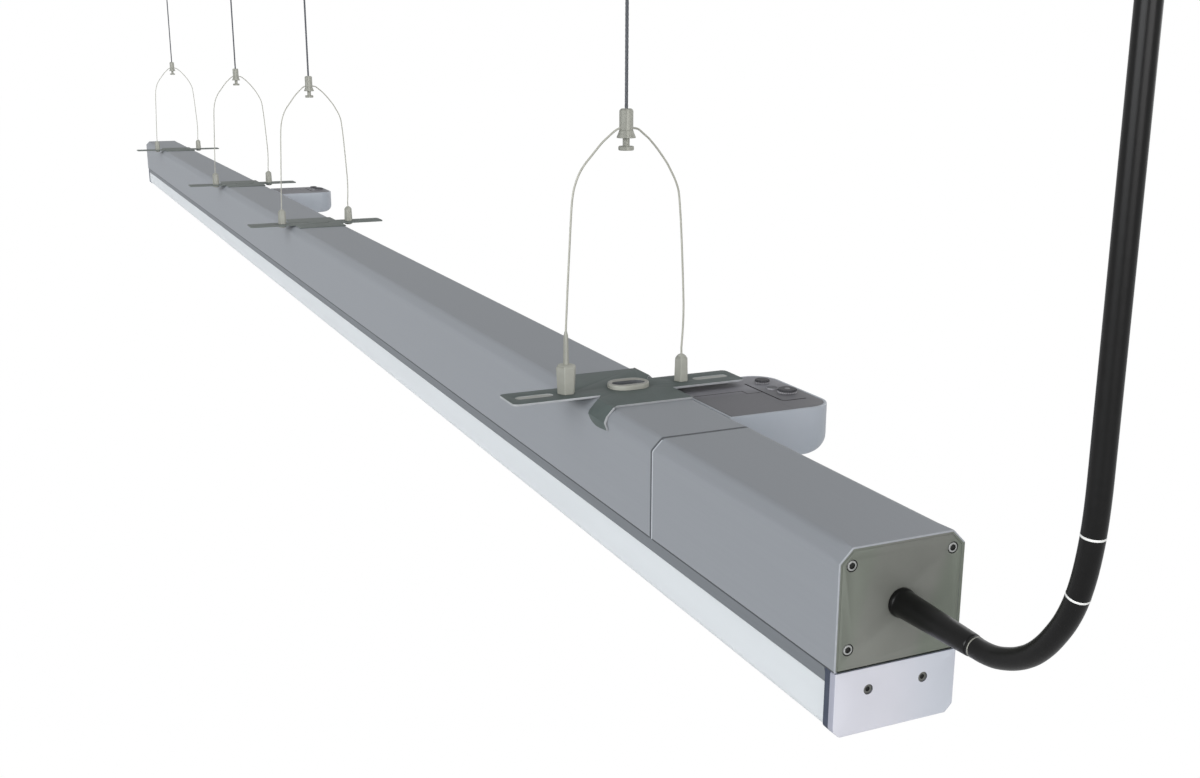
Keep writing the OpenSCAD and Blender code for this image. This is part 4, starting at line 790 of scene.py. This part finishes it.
def makeCaps():
    c = cap
    e, thick = c["edge"], c["thickness"]
    holeR = c["screw"]["headR"] + c["recessGap"]
    for end, endX, out in ends:
        bm = bmesh.new()
        addRings(bm, [across(capSkin(inset, capTop), endX - out * depth * mm) for depth, inset in (
            (thick, 0.0), (e, 0.0), (e * 0.55, e * 0.1), (e * 0.2, e * 0.35), (0.0, e * 0.85))])
        obj = addPiece("end_cap_%s_shell" % end, bm, ["end_cap_" + end], ["cap", "capShade", "capSideShade"])
        holes = bmesh.new()
        for s in (-1, 1):
            turned(holes, [(holeR, out * -c["recess"]), (holeR, out * 2.0)],
                   spot(endX, s * c["screwY"], capTop - c["screwDrop"]), "x", 40, 1)
        cutAway(obj, holes)
        # the faces towards -y get the painted shade of the caps' sides
        for polygon in obj.data.polygons:
            if polygon.material_index == 0 and polygon.normal.y < -0.6:
                polygon.material_index = 2
        smoothByAngle(obj.data, c["smooth"])
    bm = bmesh.new()
    skin = capSkin(0.0, -housing["height"])
    half = halfW - c["inset"]
    lip = roundedOutline([(-half, capTop), (half, capTop), (half, capTop + c["lip"]), (-half, capTop + c["lip"])],
                         [0.2] * 4, 2)
    for _, endX, out in ends:
        for outline, front in ((skin, thick), (lip, 0.15)):
            addRings(bm, [across(outline, endX - out * depth * mm) for depth in (channel["inset"], front)])
    addPiece("cap_gaskets_skin", bm, ["cap_gaskets"], ["gasket"], c["smooth"])


makeCaps()


plate = {
    "bevel": 0.22, "recessR": 3.4,
    "screw": {"headR": 2.8, "headT": 1.7, "socketR": 1.9, "socketDepth": 1.1, "shankR": 1.57, "shankL": 14.0},
}


def socketScrew(sizes, mat):
    # screw with a six-sided socket, its head's outer face at zero, pointing along X
    headR, headT, socketR = sizes["headR"], sizes["headT"], sizes["socketR"]
    shankR, end = sizes["shankR"], -headT - sizes["shankL"]
    angles = [fullTurn * k / 36 for k in range(36)]
    loops = []
    for r, x in ((socketR, -sizes["socketDepth"]), (socketR, -0.12), (socketR + 0.12, 0.0)):
        ring = []
        for a in angles:
            wedge = (a + math.pi / 6) % (math.pi / 3) - math.pi / 6
            q = r * math.cos(math.pi / 6) / math.cos(wedge)
            ring.append(Vector((x, q * math.cos(a), q * math.sin(a))) * mm)
        loops.append(ring)
    for r, x in ((headR - 0.4, 0.0), (headR - 0.1, -0.12), (headR, -0.4), (headR, -headT), (shankR, -headT),
                 (shankR, end)):
        loops.append([Vector((x, r * math.cos(a), r * math.sin(a))) * mm for a in angles])
    bm = bmesh.new()
    addRings(bm, loops)
    for face in bm.faces:
        if max(math.hypot(v.co.y, v.co.z) for v in face.verts) < (socketR + 0.05) * mm:
            face.material_index = 1
    bmesh.ops.recalc_face_normals(bm, faces=bm.faces)
    return toMesh(bm, "screw", [mat, "socket"])


def makeScrews(name, solid, sizes, mat, sink, places):
    # the same screws at both ends, pointing outwards
    sets = []
    for _, endX, out in ends:
        points = [spot(endX - out * sink * mm, y, z) for y, z in places]
        sets.append(spread("screws", socketScrew(sizes, mat), points, 0.0 if out > 0 else math.pi, mat))
    joined(name, sets, [solid])


def makePlates():
    for end, endX, _ in ends:
        def pick(middle, normal):
            # the walls and floors of the recesses round the screws are dark
            away = min(math.hypot(middle.y - y * mm, middle.z - topZ - z * mm) for y, z in ports)
            return int(away < (plate["recessR"] + 0.05) * mm and abs(middle.x - endX) > 0.12 * mm)
        bevelledCopy("end_plate_" + end, plate["bevel"], ["plate", "plateShade"], pick)
    makeScrews("end_plate_screw_set", "end_plate_screws", plate["screw"], "screw", 0, ports)
    makeScrews("cap_screw_set", "cap_screws", cap["screw"], "screwDark", cap["screwSink"],
               [(s * cap["screwY"], capTop - cap["screwDrop"]) for s in (-1, 1)])
    print("shop light: end plates, caps and their screws")


makePlates()


bracket = {"edge": 0.2, "wingStart": 46.0, "saddleEnd": 41, "strip": (57.8, 87.0, 8.0)}  # strip: from, to and width


def makeBrackets():
    def pick(middle, normal):
        # the cut edges of the first bracket's sheet carry a painted highlight, all else has the bracket's paint
        out = abs(middle.y) / mm
        if out > bracket["wingStart"]:
            return int(abs(normal.z) < 0.5)
        if abs(normal.z) > 0.95 and out < bracket["saddleEnd"]:
            return 0
        return int(abs(normal.x) > 0.35 or (abs(normal.y) < 0.3 and abs(normal.z) < 0.9))

    for i in range(len(hangers)):
        bevelledCopy("bracket_%d" % (i + 1), bracket["edge"],
                     ["bracketPlain" if i else "bracket", "bracketEdgeHighlight"], None if i else pick)
    # sliding strips in the slots of the first bracket's wings
    strips = bmesh.new()
    start, stop, width = bracket["strip"]
    for side in (-1, 1):
        addRings(strips, [obround(hangers[0], side * (start + stop) / 2, z, stop - start - width, width - 0.1)
                          for z in (-1.2, 1.2)])
    addPiece("slot_strips", strips, [], ["strip"], eyelet["smooth"])

    bm = bmesh.new()
    e = eyelet
    top = sheet + e["height"]
    foot = -2.0 - e["low"]
    hole = (e["holeLength"] - e["holeWidth"], e["holeWidth"])
    flange = (e["length"] - e["width"], e["width"])
    barrel = (hole[0], e["holeWidth"] + 2 * e["wall"])
    # height, straight part and width, growth of the width, finish of the strip to the next row
    # finish 2 is painted shade on the inner wall of the hole
    profile = [(sheet, flange, 0.0, 0), (top - 1.3, flange, 0.0, 0), (top - 0.5, flange, -0.3, 0),
               (top - 0.1, flange, -0.9, 1), (top, flange, -1.6, 1), (top, hole, 1.6, 1), (top - 0.25, hole, 0.6, 1),
               (top - 0.8, hole, 0.0, 2), (foot, hole, 0.0, 0), (foot, flange, 0.0, 0), (-2.0, flange, 0.0, 0),
               (-2.0, barrel, 0.0, 0), (sheet, barrel, 0.0, 0)]
    addRings(bm, [obround(hangers[0], e["out"], z, size[0], size[1] + grown) for z, size, grown, _ in profile],
             [row[3] for row in profile], loop=True)
    # the plain brackets' eyelets are closed, low and painted
    top = sheet + e["plug"]
    profile = [(foot, flange, 0.0), (-2.0, flange, 0.0), (-2.0, barrel, 0.0), (sheet, barrel, 0.0),
               (sheet, flange, 0.0), (top - 0.2, flange, 0.0), (top, flange, -0.4)]
    for x in hangers[1:]:
        addRings(bm, [obround(x, e["out"], z, size[0], size[1] + grown) for z, size, grown in profile], 3)
    addPiece("bracket_eyelet_rings", bm, ["bracket_eyelets"],
             ["nickel", "eyeRing", "eyeHoleShade", "bracketPlain"], e["smooth"])
    print("shop light: brackets and eyelets")


makeBrackets()


fittings = {
    "out": 7.3, "sides": 24, "smooth": 30, "shade": -0.6,
    "sleeved": {"foot": 6.9, "top": 7.9, "height": 20.0, "bevel": 1.5, "tip": 5.8, "sleeve": (2.1, 1.8, 24.5)},
    "pointed": {"foot": 5.8, "top": 5.3, "height": 17.5, "cone": 3.0, "tip": 2.0},
    "nut": {"height": 3.0, "radius": 5.5}, "shank": (3.0, -3.6),
}


def hexStack(bm, x, y, rows):
    # each row: radius, height, rounding of the six corners, and a blend into a circle; one side faces the front
    rings = []
    for r, z, rounding, blend in rows:
        angles = [math.pi / 6 + math.pi / 3 * k for k in range(6)]
        ring = roundedOutline([(r * math.cos(a), r * math.sin(a)) for a in angles], [rounding] * 6, 3, 0.25)
        ring = [p.lerp(p.normalized() * r * 0.93, blend) for p in ring]
        rings.append([spot(x + p.x * mm, y + p.y, z) for p in ring])
    addRings(bm, rings)


def sleevedFitting(bm, x, y):
    # widens upwards and carries a long sleeve for the wire
    a = fittings["sleeved"]
    foot, top, tip, bevel = a["foot"], a["top"], a["tip"], a["bevel"]
    up = sheet + a["height"]
    hexStack(bm, x, y, [(foot - 0.3, sheet, 0.7, 0), (foot, sheet + 0.4, 0.7, 0), (top, up - 0.5, 0.7, 0),
                        (top - 0.2, up, 0.9, 0.1), ((top + tip) / 2, up + bevel * 0.7, 1.2, 0.5),
                        (tip, up + bevel, 1.5, 1.0)])
    low, high, tall = a["sleeve"]
    start = up + bevel
    end = start + tall
    turned(bm, [(low, start - 0.4), (low, start + 1.5), (high, end - 4.5), (high - 0.25, end - 2.6),
                (high - 0.6, end - 1.2), (high - 0.85, end)], spot(x, y, 0), "z", fittings["sides"])


def pointedFitting(bm, x, y):
    # slimmer, narrows up to a pointed top
    a = fittings["pointed"]
    foot, top, tip, cone = a["foot"], a["top"], a["tip"], a["cone"]
    up = sheet + a["height"]
    hexStack(bm, x, y, [(foot - 0.3, sheet, 0.7, 0), (foot, sheet + 0.4, 0.7, 0), (top, up - 0.4, 0.7, 0),
                        (top - 0.25, up, 0.8, 0.2), ((top + tip) / 2, up + cone * 0.6, 0.8, 0.8),
                        (tip, up + cone, 0.6, 1.0)])


def makeFittings():
    f = fittings
    reach = halfW + f["out"]
    shankR, shankFoot = f["shank"]
    front, rear = bmesh.new(), bmesh.new()
    for i, x in enumerate(hangers):
        for bm, y, shape in ((front, -reach, pointedFitting if i else sleevedFitting), (rear, reach, pointedFitting)):
            shape(bm, x, y)
            turned(bm, [(shankR, shankFoot), (shankR, sheet + 0.4)], spot(x, y, 0), "z", f["sides"])
    for name, bm in (("front", front), ("rear", rear)):
        shadeLeft(addPiece(name + "_fitting_set", bm, [name + "_fittings"],
                           ["nickel", "nickelShade"], f["smooth"]), f["shade"])

    nut = bmesh.new()
    r, h = f["nut"]["radius"], f["nut"]["height"]
    hexStack(nut, 0, 0, [(r - 0.5, -h, 0.3, 0), (r, -h + 0.4, 0.3, 0), (r, -0.4, 0.3, 0), (r - 0.5, 0.0, 0.3, 0)])
    spots = [(x, side * reach * mm, 0.0) for x in hangers for side in (-1, 1)]
    obj = spread("fitting_nut_set", meshOf(nut, "nut", ["nickel"]), spots, 0.0, "nickel")
    dressed(obj, ["fitting_nuts"])
    print("shop light: wire fittings")


makeFittings()


yoke = {
    "radius": 0.75, "sides": 12, "steps": 6, "height": 191.0, "start": 3.2, "socket": 3.8,
    "sleevedTip": 47.6, "pointedTip": 22.1,
    # shares of the way out and of the way up along a leg
    "frontOut": [0, 0.05, 0.13, 0.25, 0.35, 0.445, 0.55, 0.66, 0.755, 0.825, 0.865, 0.89, 0.91, 0.935, 0.96, 0.985,
                 1, 1],
    "frontUp": [1, 1, 0.988, 0.96, 0.935, 0.905, 0.87, 0.833, 0.79, 0.74, 0.693, 0.63, 0.535, 0.4, 0.27, 0.12, 0.03,
                0],
    "rearOut": [0, 0.05, 0.142, 0.22, 0.33, 0.42, 0.509, 0.6, 0.68, 0.745, 0.81, 0.869, 0.9, 0.917, 0.945, 0.97, 1,
                1.025, 1.02, 1, 1, 1],
    "rearUp": [1, 1, 0.995, 0.98, 0.957, 0.933, 0.907, 0.877, 0.849, 0.82, 0.79, 0.755, 0.725, 0.69, 0.61, 0.516,
               0.38, 0.239, 0.14, 0.06, 0.03, 0],
}


def makeYokes():
    k = yoke
    start, reach = k["start"], halfW + fittings["out"]
    for i, x in enumerate(hangers):
        points, edges = [], []
        for side, leg, tip in ((-1, "front", "pointedTip" if i else "sleevedTip"), (1, "rear", "pointedTip")):
            low = k[tip] - k["socket"]
            first = len(points)
            for out, up in zip(k[leg + "Out"], k[leg + "Up"]):
                points.append(spot(x, side * (start + (reach - start) * out), low + (k["height"] - low) * up))
            edges += [(j, j + 1) for j in range(first, len(points) - 1)]
        obj = grow("wire_yoke_%d_legs" % (i + 1), roundWire, {
            "Radius": k["radius"] * mm, "Sides": k["sides"], "Steps": k["steps"], "Material": paint["wire"]},
            points, edges)
        smoothByAngle(obj.data, 50)
        dressed(obj, ["wire_yoke_%d" % (i + 1)])
    print("shop light: yokes")


makeYokes()


clamp = {
    "barrelFoot": 189.7, "barrelR": 5.0, "barrelH": 15.0, "chamfer": 1.2, "collarH": 5.5, "collarR": 6.9,
    "neck": 4.3, "discR": 5.6, "discT": 3.0, "discGap": 5.7, "stemR": 2.5, "bore": 1.4, "sides": 56, "shade": -0.33,
}


def makeClamps():
    barrelR, collarR, neck, discR, stemR, bore = (clamp[key] for key in (
        "barrelR", "collarR", "neck", "discR", "stemR", "bore"))
    foot = clamp["barrelFoot"]
    top, collar = foot + clamp["barrelH"], foot - clamp["collarH"]
    bend = top - clamp["chamfer"]
    disc = collar - clamp["discGap"]
    under = disc - clamp["discT"]
    shapes = {
        "barrel": [
            (bore, top - 6), (bore, top - 0.3), (bore + 0.3, top), (barrelR - 1.7, top), (barrelR - 1.0, top - 0.25),
            (barrelR - 0.2, bend), (barrelR, bend - 0.5), (barrelR, foot + 0.25), (barrelR - 0.25, foot),
            (neck, foot), (neck, collar), (stemR + 0.08, collar), (stemR + 0.08, top - 6)],
        "collar": [
            (neck + 0.08, collar), (collarR - 0.3, collar), (collarR, collar + 0.3), (collarR - 0.1, collar + 0.7),
            (barrelR + 0.45, collar + clamp["collarH"] * 0.72), (barrelR + 0.1, foot - 0.35), (barrelR - 0.15, foot),
            (neck + 0.08, foot)],
        "plunger": [
            (bore, under), (discR - 0.5, under), (discR, under + 0.5), (discR, disc - 0.5), (discR - 0.5, disc),
            (stemR + 0.4, disc), (stemR, disc + 0.4), (stemR, collar + 9), (bore, collar + 9)],
    }

    def addClampPart(bm, name, solid, body):
        shadeLeft(addPiece(name + "_turned", bm, [solid], ["nickel", "nickelShade"], body=body),
                  clamp["shade"])

    barrels, collars = bmesh.new(), bmesh.new()
    for i, x in enumerate(hangers):
        plunger = bmesh.new()
        for bm, shape in ((barrels, "barrel"), (collars, "collar"), (plunger, "plunger")):
            turned(bm, shapes[shape], spot(x, 0, 0), "z", clamp["sides"], loop=True)
        name = "plunger_%d" % (i + 1)
        addClampPart(plunger, name, name, name)
    for name, bm in (("clamp_barrels", barrels), ("clamp_collars", collars)):
        addClampPart(bm, name, name, "luminaire")
    print("shop light: rope clamps")


makeClamps()


box = {
    "length": 102.0, "reach": 89.5, "height": 34.5, "down": 4.5, "corner": 20.0, "lowerEdge": 11.0, "wall": 2.4,
    "backCorner": 0.8, "rim": 0.9, "gap": 0.15, "cover": 2.5, "coverEdge": 0.35,
    "lid": (58.0, 50.0), "lidMargin": 4.0, "lidSink": 0.03, "lidGap": 0.8, "lidT": 1.2, "lidPlay": 0.03,
    "jog": (53.6, 45.5), "cutAbove": 3,
    "groove": {"width": 1.6, "depth": 0.8, "out": 57.5, "face": 24.0, "length": 56.0, "leg": 21.0},
}
controls = {
    "small": (77.0, 72.0), "button": (59.0, 70.2), "large": (44.7, 74.4), "smallR": 5.8, "largeR": 7.3,
    "buttonR": 4.5, "buttonFlange": 0.9, "buttonGap": 0.25, "buttonH": 1.3, "dialH": 3.0, "dialGap": 0.2,
    "spindleR": 1.5, "spindleL": 12.0, "beads": {"small": 22, "large": 28}, "beadInset": 0.52, "centre": 2.1,
}
boxTop = -box["down"]
boxFaces = [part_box("button_%d" % i)[0].x
            + (controls["button"][0] + controls["buttonR"] + controls["buttonFlange"]) * mm for i in (1, 2)]


def boxPoint(face, out, side, z):
    # from a box's near face, from the housing's side, and up from the top face
    return spot(face - out * mm, halfW + side, z)


def boxOutline(inset, pull=0.0):
    # plan of a box, square towards the housing; pull draws its outer end in
    r = box["corner"] - inset
    back = max(box["backCorner"] - inset, 0.15)
    far, side = box["length"] - inset, box["reach"] - pull - inset
    return roundedOutline([(inset, inset), (far, inset), (far, side), (inset, side)], [back, back, r, r], 9, 0.6)


def boxRing(face, outline, z):
    return [boxPoint(face, x, y, z) for x, y in outline]


def makeShell(face):
    e, r, wall = box["lowerEdge"], box["rim"], box["wall"]
    floor = boxTop - box["height"]
    rings = []

    def curve(inset, edge, base, steps):
        # the round lower edge, from the floor up or back down inside
        for k in steps:
            a = math.pi / 2 * k / 8
            grown = 0.6 if k == 0 and not inset else inset
            rings.append(boxRing(face, boxOutline(grown, edge * (1 - math.sin(a))), base + edge * (1 - math.cos(a))))

    curve(0.0, e, floor, range(9))
    for z, inset in ((boxTop - 10, 0.0), (boxTop - r, 0.0), (boxTop - r * 0.45, r * 0.12),
                     (boxTop - r * 0.12, r * 0.45), (boxTop, r * 0.95), (boxTop, wall - 0.25), (boxTop - 0.25, wall),
                     (floor + e, wall)):
        rings.append(boxRing(face, boxOutline(inset), z))
    curve(wall, e - wall, floor + wall, (6, 4, 2, 0))
    bm = bmesh.new()
    addRings(bm, rings)
    return addObject("box_shell_part", meshOf(bm, "box_shell_part", ["boxShell"]))


def makeBoxes():
    b, g = box, box["groove"]
    joined("box_shell_set", [makeShell(face) for face in boxFaces], ["box_shells"])

    covers, lids, cutters, shorts = (bmesh.new() for _ in range(4))
    inset, e, above = b["wall"] + b["gap"], b["coverEdge"], boxTop + b["cutAbove"]
    m, (jx, jy) = b["lidMargin"], b["jog"]
    along, out = m + b["lid"][0], m + b["lid"][1]
    n, w = b["lidPlay"], b["lidGap"]
    hollow = roundedOutline([(m, m), (along, m), (along, jy), (jx, jy), (jx, out), (m, out)], [0.3] * 6, 2)
    lid = roundedOutline([(m + n, m + n), (along - w, m + n), (along - w, jy - w), (jx - w, jy - w),
                          (jx - w, out - n), (m + n, out - n)], [0.3] * 6, 2)
    lidTop = boxTop - b["lidSink"]
    short = [(jx - 0.9, out - 0.5), (jx, out - 0.5), (jx, g["out"] + 0.3), (jx - 0.9, g["out"] + 0.3)]
    # two legs of the groove with a round corner between them
    r, gx, gy, wide = g["width"] * 3, g["face"], g["out"], g["width"]
    groove = roundedOutline([(gx + g["length"], gy), (gx, gy), (gx, gy + g["leg"]), (gx + wide, gy + g["leg"]),
                             (gx + wide, gy + wide), (gx + g["length"], gy + wide)],
                            [0.5, r, 0.5, 0.5, r - wide, 0.5], 5)
    cutR = controls["buttonR"] + controls["buttonGap"]
    for face in boxFaces:
        addRings(covers, [boxRing(face, boxOutline(inset + grown), z) for z, grown in (
            (boxTop - b["cover"], 0.0), (boxTop - e, 0.0), (boxTop - e * 0.3, e * 0.3), (boxTop, e))])
        addRings(lids, [boxRing(face, lid, z) for z in (lidTop - b["lidT"], lidTop)])
        for bm, outline, depth in ((shorts, short, g["depth"]), (cutters, hollow, b["lidSink"] + b["lidT"]),
                                   (cutters, groove, g["depth"])):
            addRings(bm, [boxRing(face, outline, z) for z in (boxTop - depth, above)], 1)
        turned(cutters, [(cutR, boxTop - 4), (cutR, above)], boxPoint(face, *controls["button"], 0), "z", 48, 1)
    obj = addPiece("box_cover_set", covers, ["box_covers"], ["boxCover", "boxLine"])
    cutAway(obj, cutters)
    cutAway(obj, shorts)
    smoothByAngle(obj.data, 30)
    addPiece("box_lid_set", lids, ["box_lids"], ["boxCover"], 30)
    bevelledCopy("box_boards", 0, ["board"])
    bevelledCopy("box_screws", 0.2, ["screw"])
    print("shop light: control boxes")


makeBoxes()


def makeDial(solid, at, radius, count, centreMat, beadMesh):
    c = controls
    base, centre = c["dialGap"], c["centre"]
    high, grip = base + c["dialH"], radius - 0.7
    bm = bmesh.new()
    turned(bm, [(c["spindleR"], -c["spindleL"] + 0.1), (c["spindleR"], base), (radius - 1.3, base),
                (grip, base + 0.2), (grip, high - 0.3), (radius - 1.0, high - 0.02), (radius - 1.8, high),
                (centre + 0.5, high - 0.12), (centre + 0.15, high - 0.1), (centre, high), (0.2, high)], at, "z", 56)
    for face in bm.faces:
        far = max(math.hypot(v.co.x - at.x, v.co.y - at.y) for v in face.verts) / mm
        if far < centre + 0.05 and min(v.co.z for v in face.verts) > at.z + 0.5 * mm:
            face.material_index = 1
    mesh = meshOf(bm, solid + "_disc", ["dial", centreMat])
    smoothByAngle(mesh, 34)
    dressed(addObject(solid + "_disc", mesh), [solid], solid)
    middle = at + Vector((0, 0, base * mm))
    spots = circle(middle, (radius - c["beadInset"]) * mm, count, Vector((1, 0, 0)), Vector((0, 1, 0)))
    single = beadMesh.copy()
    for mat in ("dialRimHighlight", "dial"):
        single.materials.append(paint[mat])
    dressed(spread(solid + "_beads", single, spots, 0.0, "dialRimHighlight"), body=solid)


def makeButton(solid, at):
    r, h, flange = controls["buttonR"], controls["buttonH"], controls["buttonR"] + controls["buttonFlange"]
    bm = bmesh.new()
    turned(bm, [(1.5, -10), (1.5, -3.7), (flange, -3.7), (flange, -2.7), (r, -2.7), (r, 0.8), (r - 0.3, 1.0),
                (r - 0.4, h - 0.15), (r - 0.7, h), (r - 2.0, h - 0.1), (0.2, h - 0.2)], at, "z", 48)
    # the button's side carries the same painted highlight
    for face in bm.faces:
        heights = [(v.co.z - at.z) / mm for v in face.verts]
        if min(heights) > -2.8 and max(heights) < 1.05:
            face.material_index = 1
    addPiece(solid + "_cap", bm, [solid], ["button", "dialRimHighlight"], 34, solid)


def makeControls():
    bead = bmesh.new()
    axes = Vector((1, 0, 0)), Vector((0, 1, 0))
    # radius and height; the foot carries a painted highlight, the top is dark
    addRings(bead, [circle(Vector((0, 0, z * mm)), r * mm, 8, *axes) for r, z in (
        (0.5, 0.0), (0.5, 1.3), (0.5, 2.2), (0.36, 2.6), (0.12, 2.75))], [0, 1, 1, 1])
    beadMesh = meshOf(bead, "bead")
    for i, face in enumerate(boxFaces):
        for kind, centreMat in (("small", "dial"), ("large", "dialCentre")):
            makeDial("%s_dial_%d" % (kind, i + 1), boxPoint(face, *controls[kind], boxTop), controls[kind + "R"],
                     controls["beads"][kind], centreMat, beadMesh)
        makeButton("button_%d" % (i + 1), boxPoint(face, *controls["button"], boxTop))
    bpy.data.meshes.remove(beadMesh)
    print("shop light: dials and buttons")


makeControls()


ceilingSet = {"cupR": 10.0, "cupBase": 12.0, "cupCap": 14.0, "cupFoot": 5.0, "roseR": 40.0, "roseH": 26.0,
              "gripR": 9.0, "gripH": 16.0}


def makeCeiling():
    cupR, cupFoot, r, grip = (ceilingSet[key] for key in ("cupR", "cupFoot", "roseR", "gripR"))
    low, h = -ceilingSet["cupBase"], -ceilingSet["roseH"]
    foot, tip = low - ceilingSet["cupCap"], h - ceilingSet["gripH"]
    cups, caps, cover, gland = (bmesh.new() for _ in range(4))
    for x in hangers:
        at = Vector((x, 0, 0))
        turned(cups, [(2.5, -8), (2.5, 0), (cupR - 0.3, 0), (cupR, -0.3), (cupR, low + 0.3), (cupR - 0.3, low),
                      (0.2, low), (0.2, -8)], at, loop=True)
        turned(caps, [(4.6, low), (cupR - 0.3, low), (cupR, low - 0.35), (cupR - 0.3, low - 1.2),
                      (cupFoot + 0.4, foot + 0.8), (cupFoot - 0.1, foot + 0.2), (cupFoot - 0.5, foot),
                      (1.7, foot), (1.6, foot + 0.4), (1.6, low - 8), (4.6, low - 8)], at, loop=True)
    at = Vector((nearX + cable["route"][-1][0] * mm, 0, 0))
    turned(cover, [(r - 2, 0), (r, 0), (r, h + 5), (r - 0.4, h + 2.6), (r - 1.6, h + 1.0), (r - 3.6, h + 0.15),
                   (r - 5.5, h), (6.2, h), (6.2, h + 2), (r - 5, h + 2), (r - 2.6, h + 3.4), (r - 2, h + 5)],
           at, "z", 80, loop=True)
    turned(gland, [(6.0, h + 2.4), (6.0, h), (grip - 0.4, h), (grip, h - 0.4), (grip, h - 5), (grip - 0.6, h - 6),
                   (grip - 0.6, h - 8), (grip - 1.2, h - 12), (grip - 2.4, tip + 0.4), (grip - 2.9, tip)],
           at, "z", 56)
    addPiece("ceiling_cup_bases", cups, ["ceiling_cups"], ["nickel"], body="ceiling")
    addPiece("ceiling_cup_caps", caps, ["cup_caps"], ["nickel"], body="ceiling")
    bevelledCopy("rope_ends", 0.3, ["nickel"], body="ceiling")
    addPiece("rose_cover_turned", cover, ["rose_cover"], ["white"], body="ceiling")
    addPiece("rose_grip_turned", gland, ["rose_grip"], ["rubber"], body="ceiling")
    bevelledCopy("rose_base", 0.3, ["white"], body="ceiling")
    print("shop light: ceiling fittings")


makeCeiling()


def makeInside():
    # solid, bevel, slot, finish and angle of smoothing
    for solid, width, slotName, mat, smooth in (
            ("drivers", 0.5, "driver_metal", "sheetMetal", 36), ("terminal_block", 0.4, "inner_white", "white", 36),
            ("relief_nut", 0.3, "black_rubber", "rubber", 36), ("light_boards", 0, "board_white", "boardWhite", 36),
            ("inner_lead", 0, "black_rubber", "rubber", 60)):
        bevelledCopy(solid, width, [mat], smooth=smooth)
    print("shop light: parts inside")


makeInside()
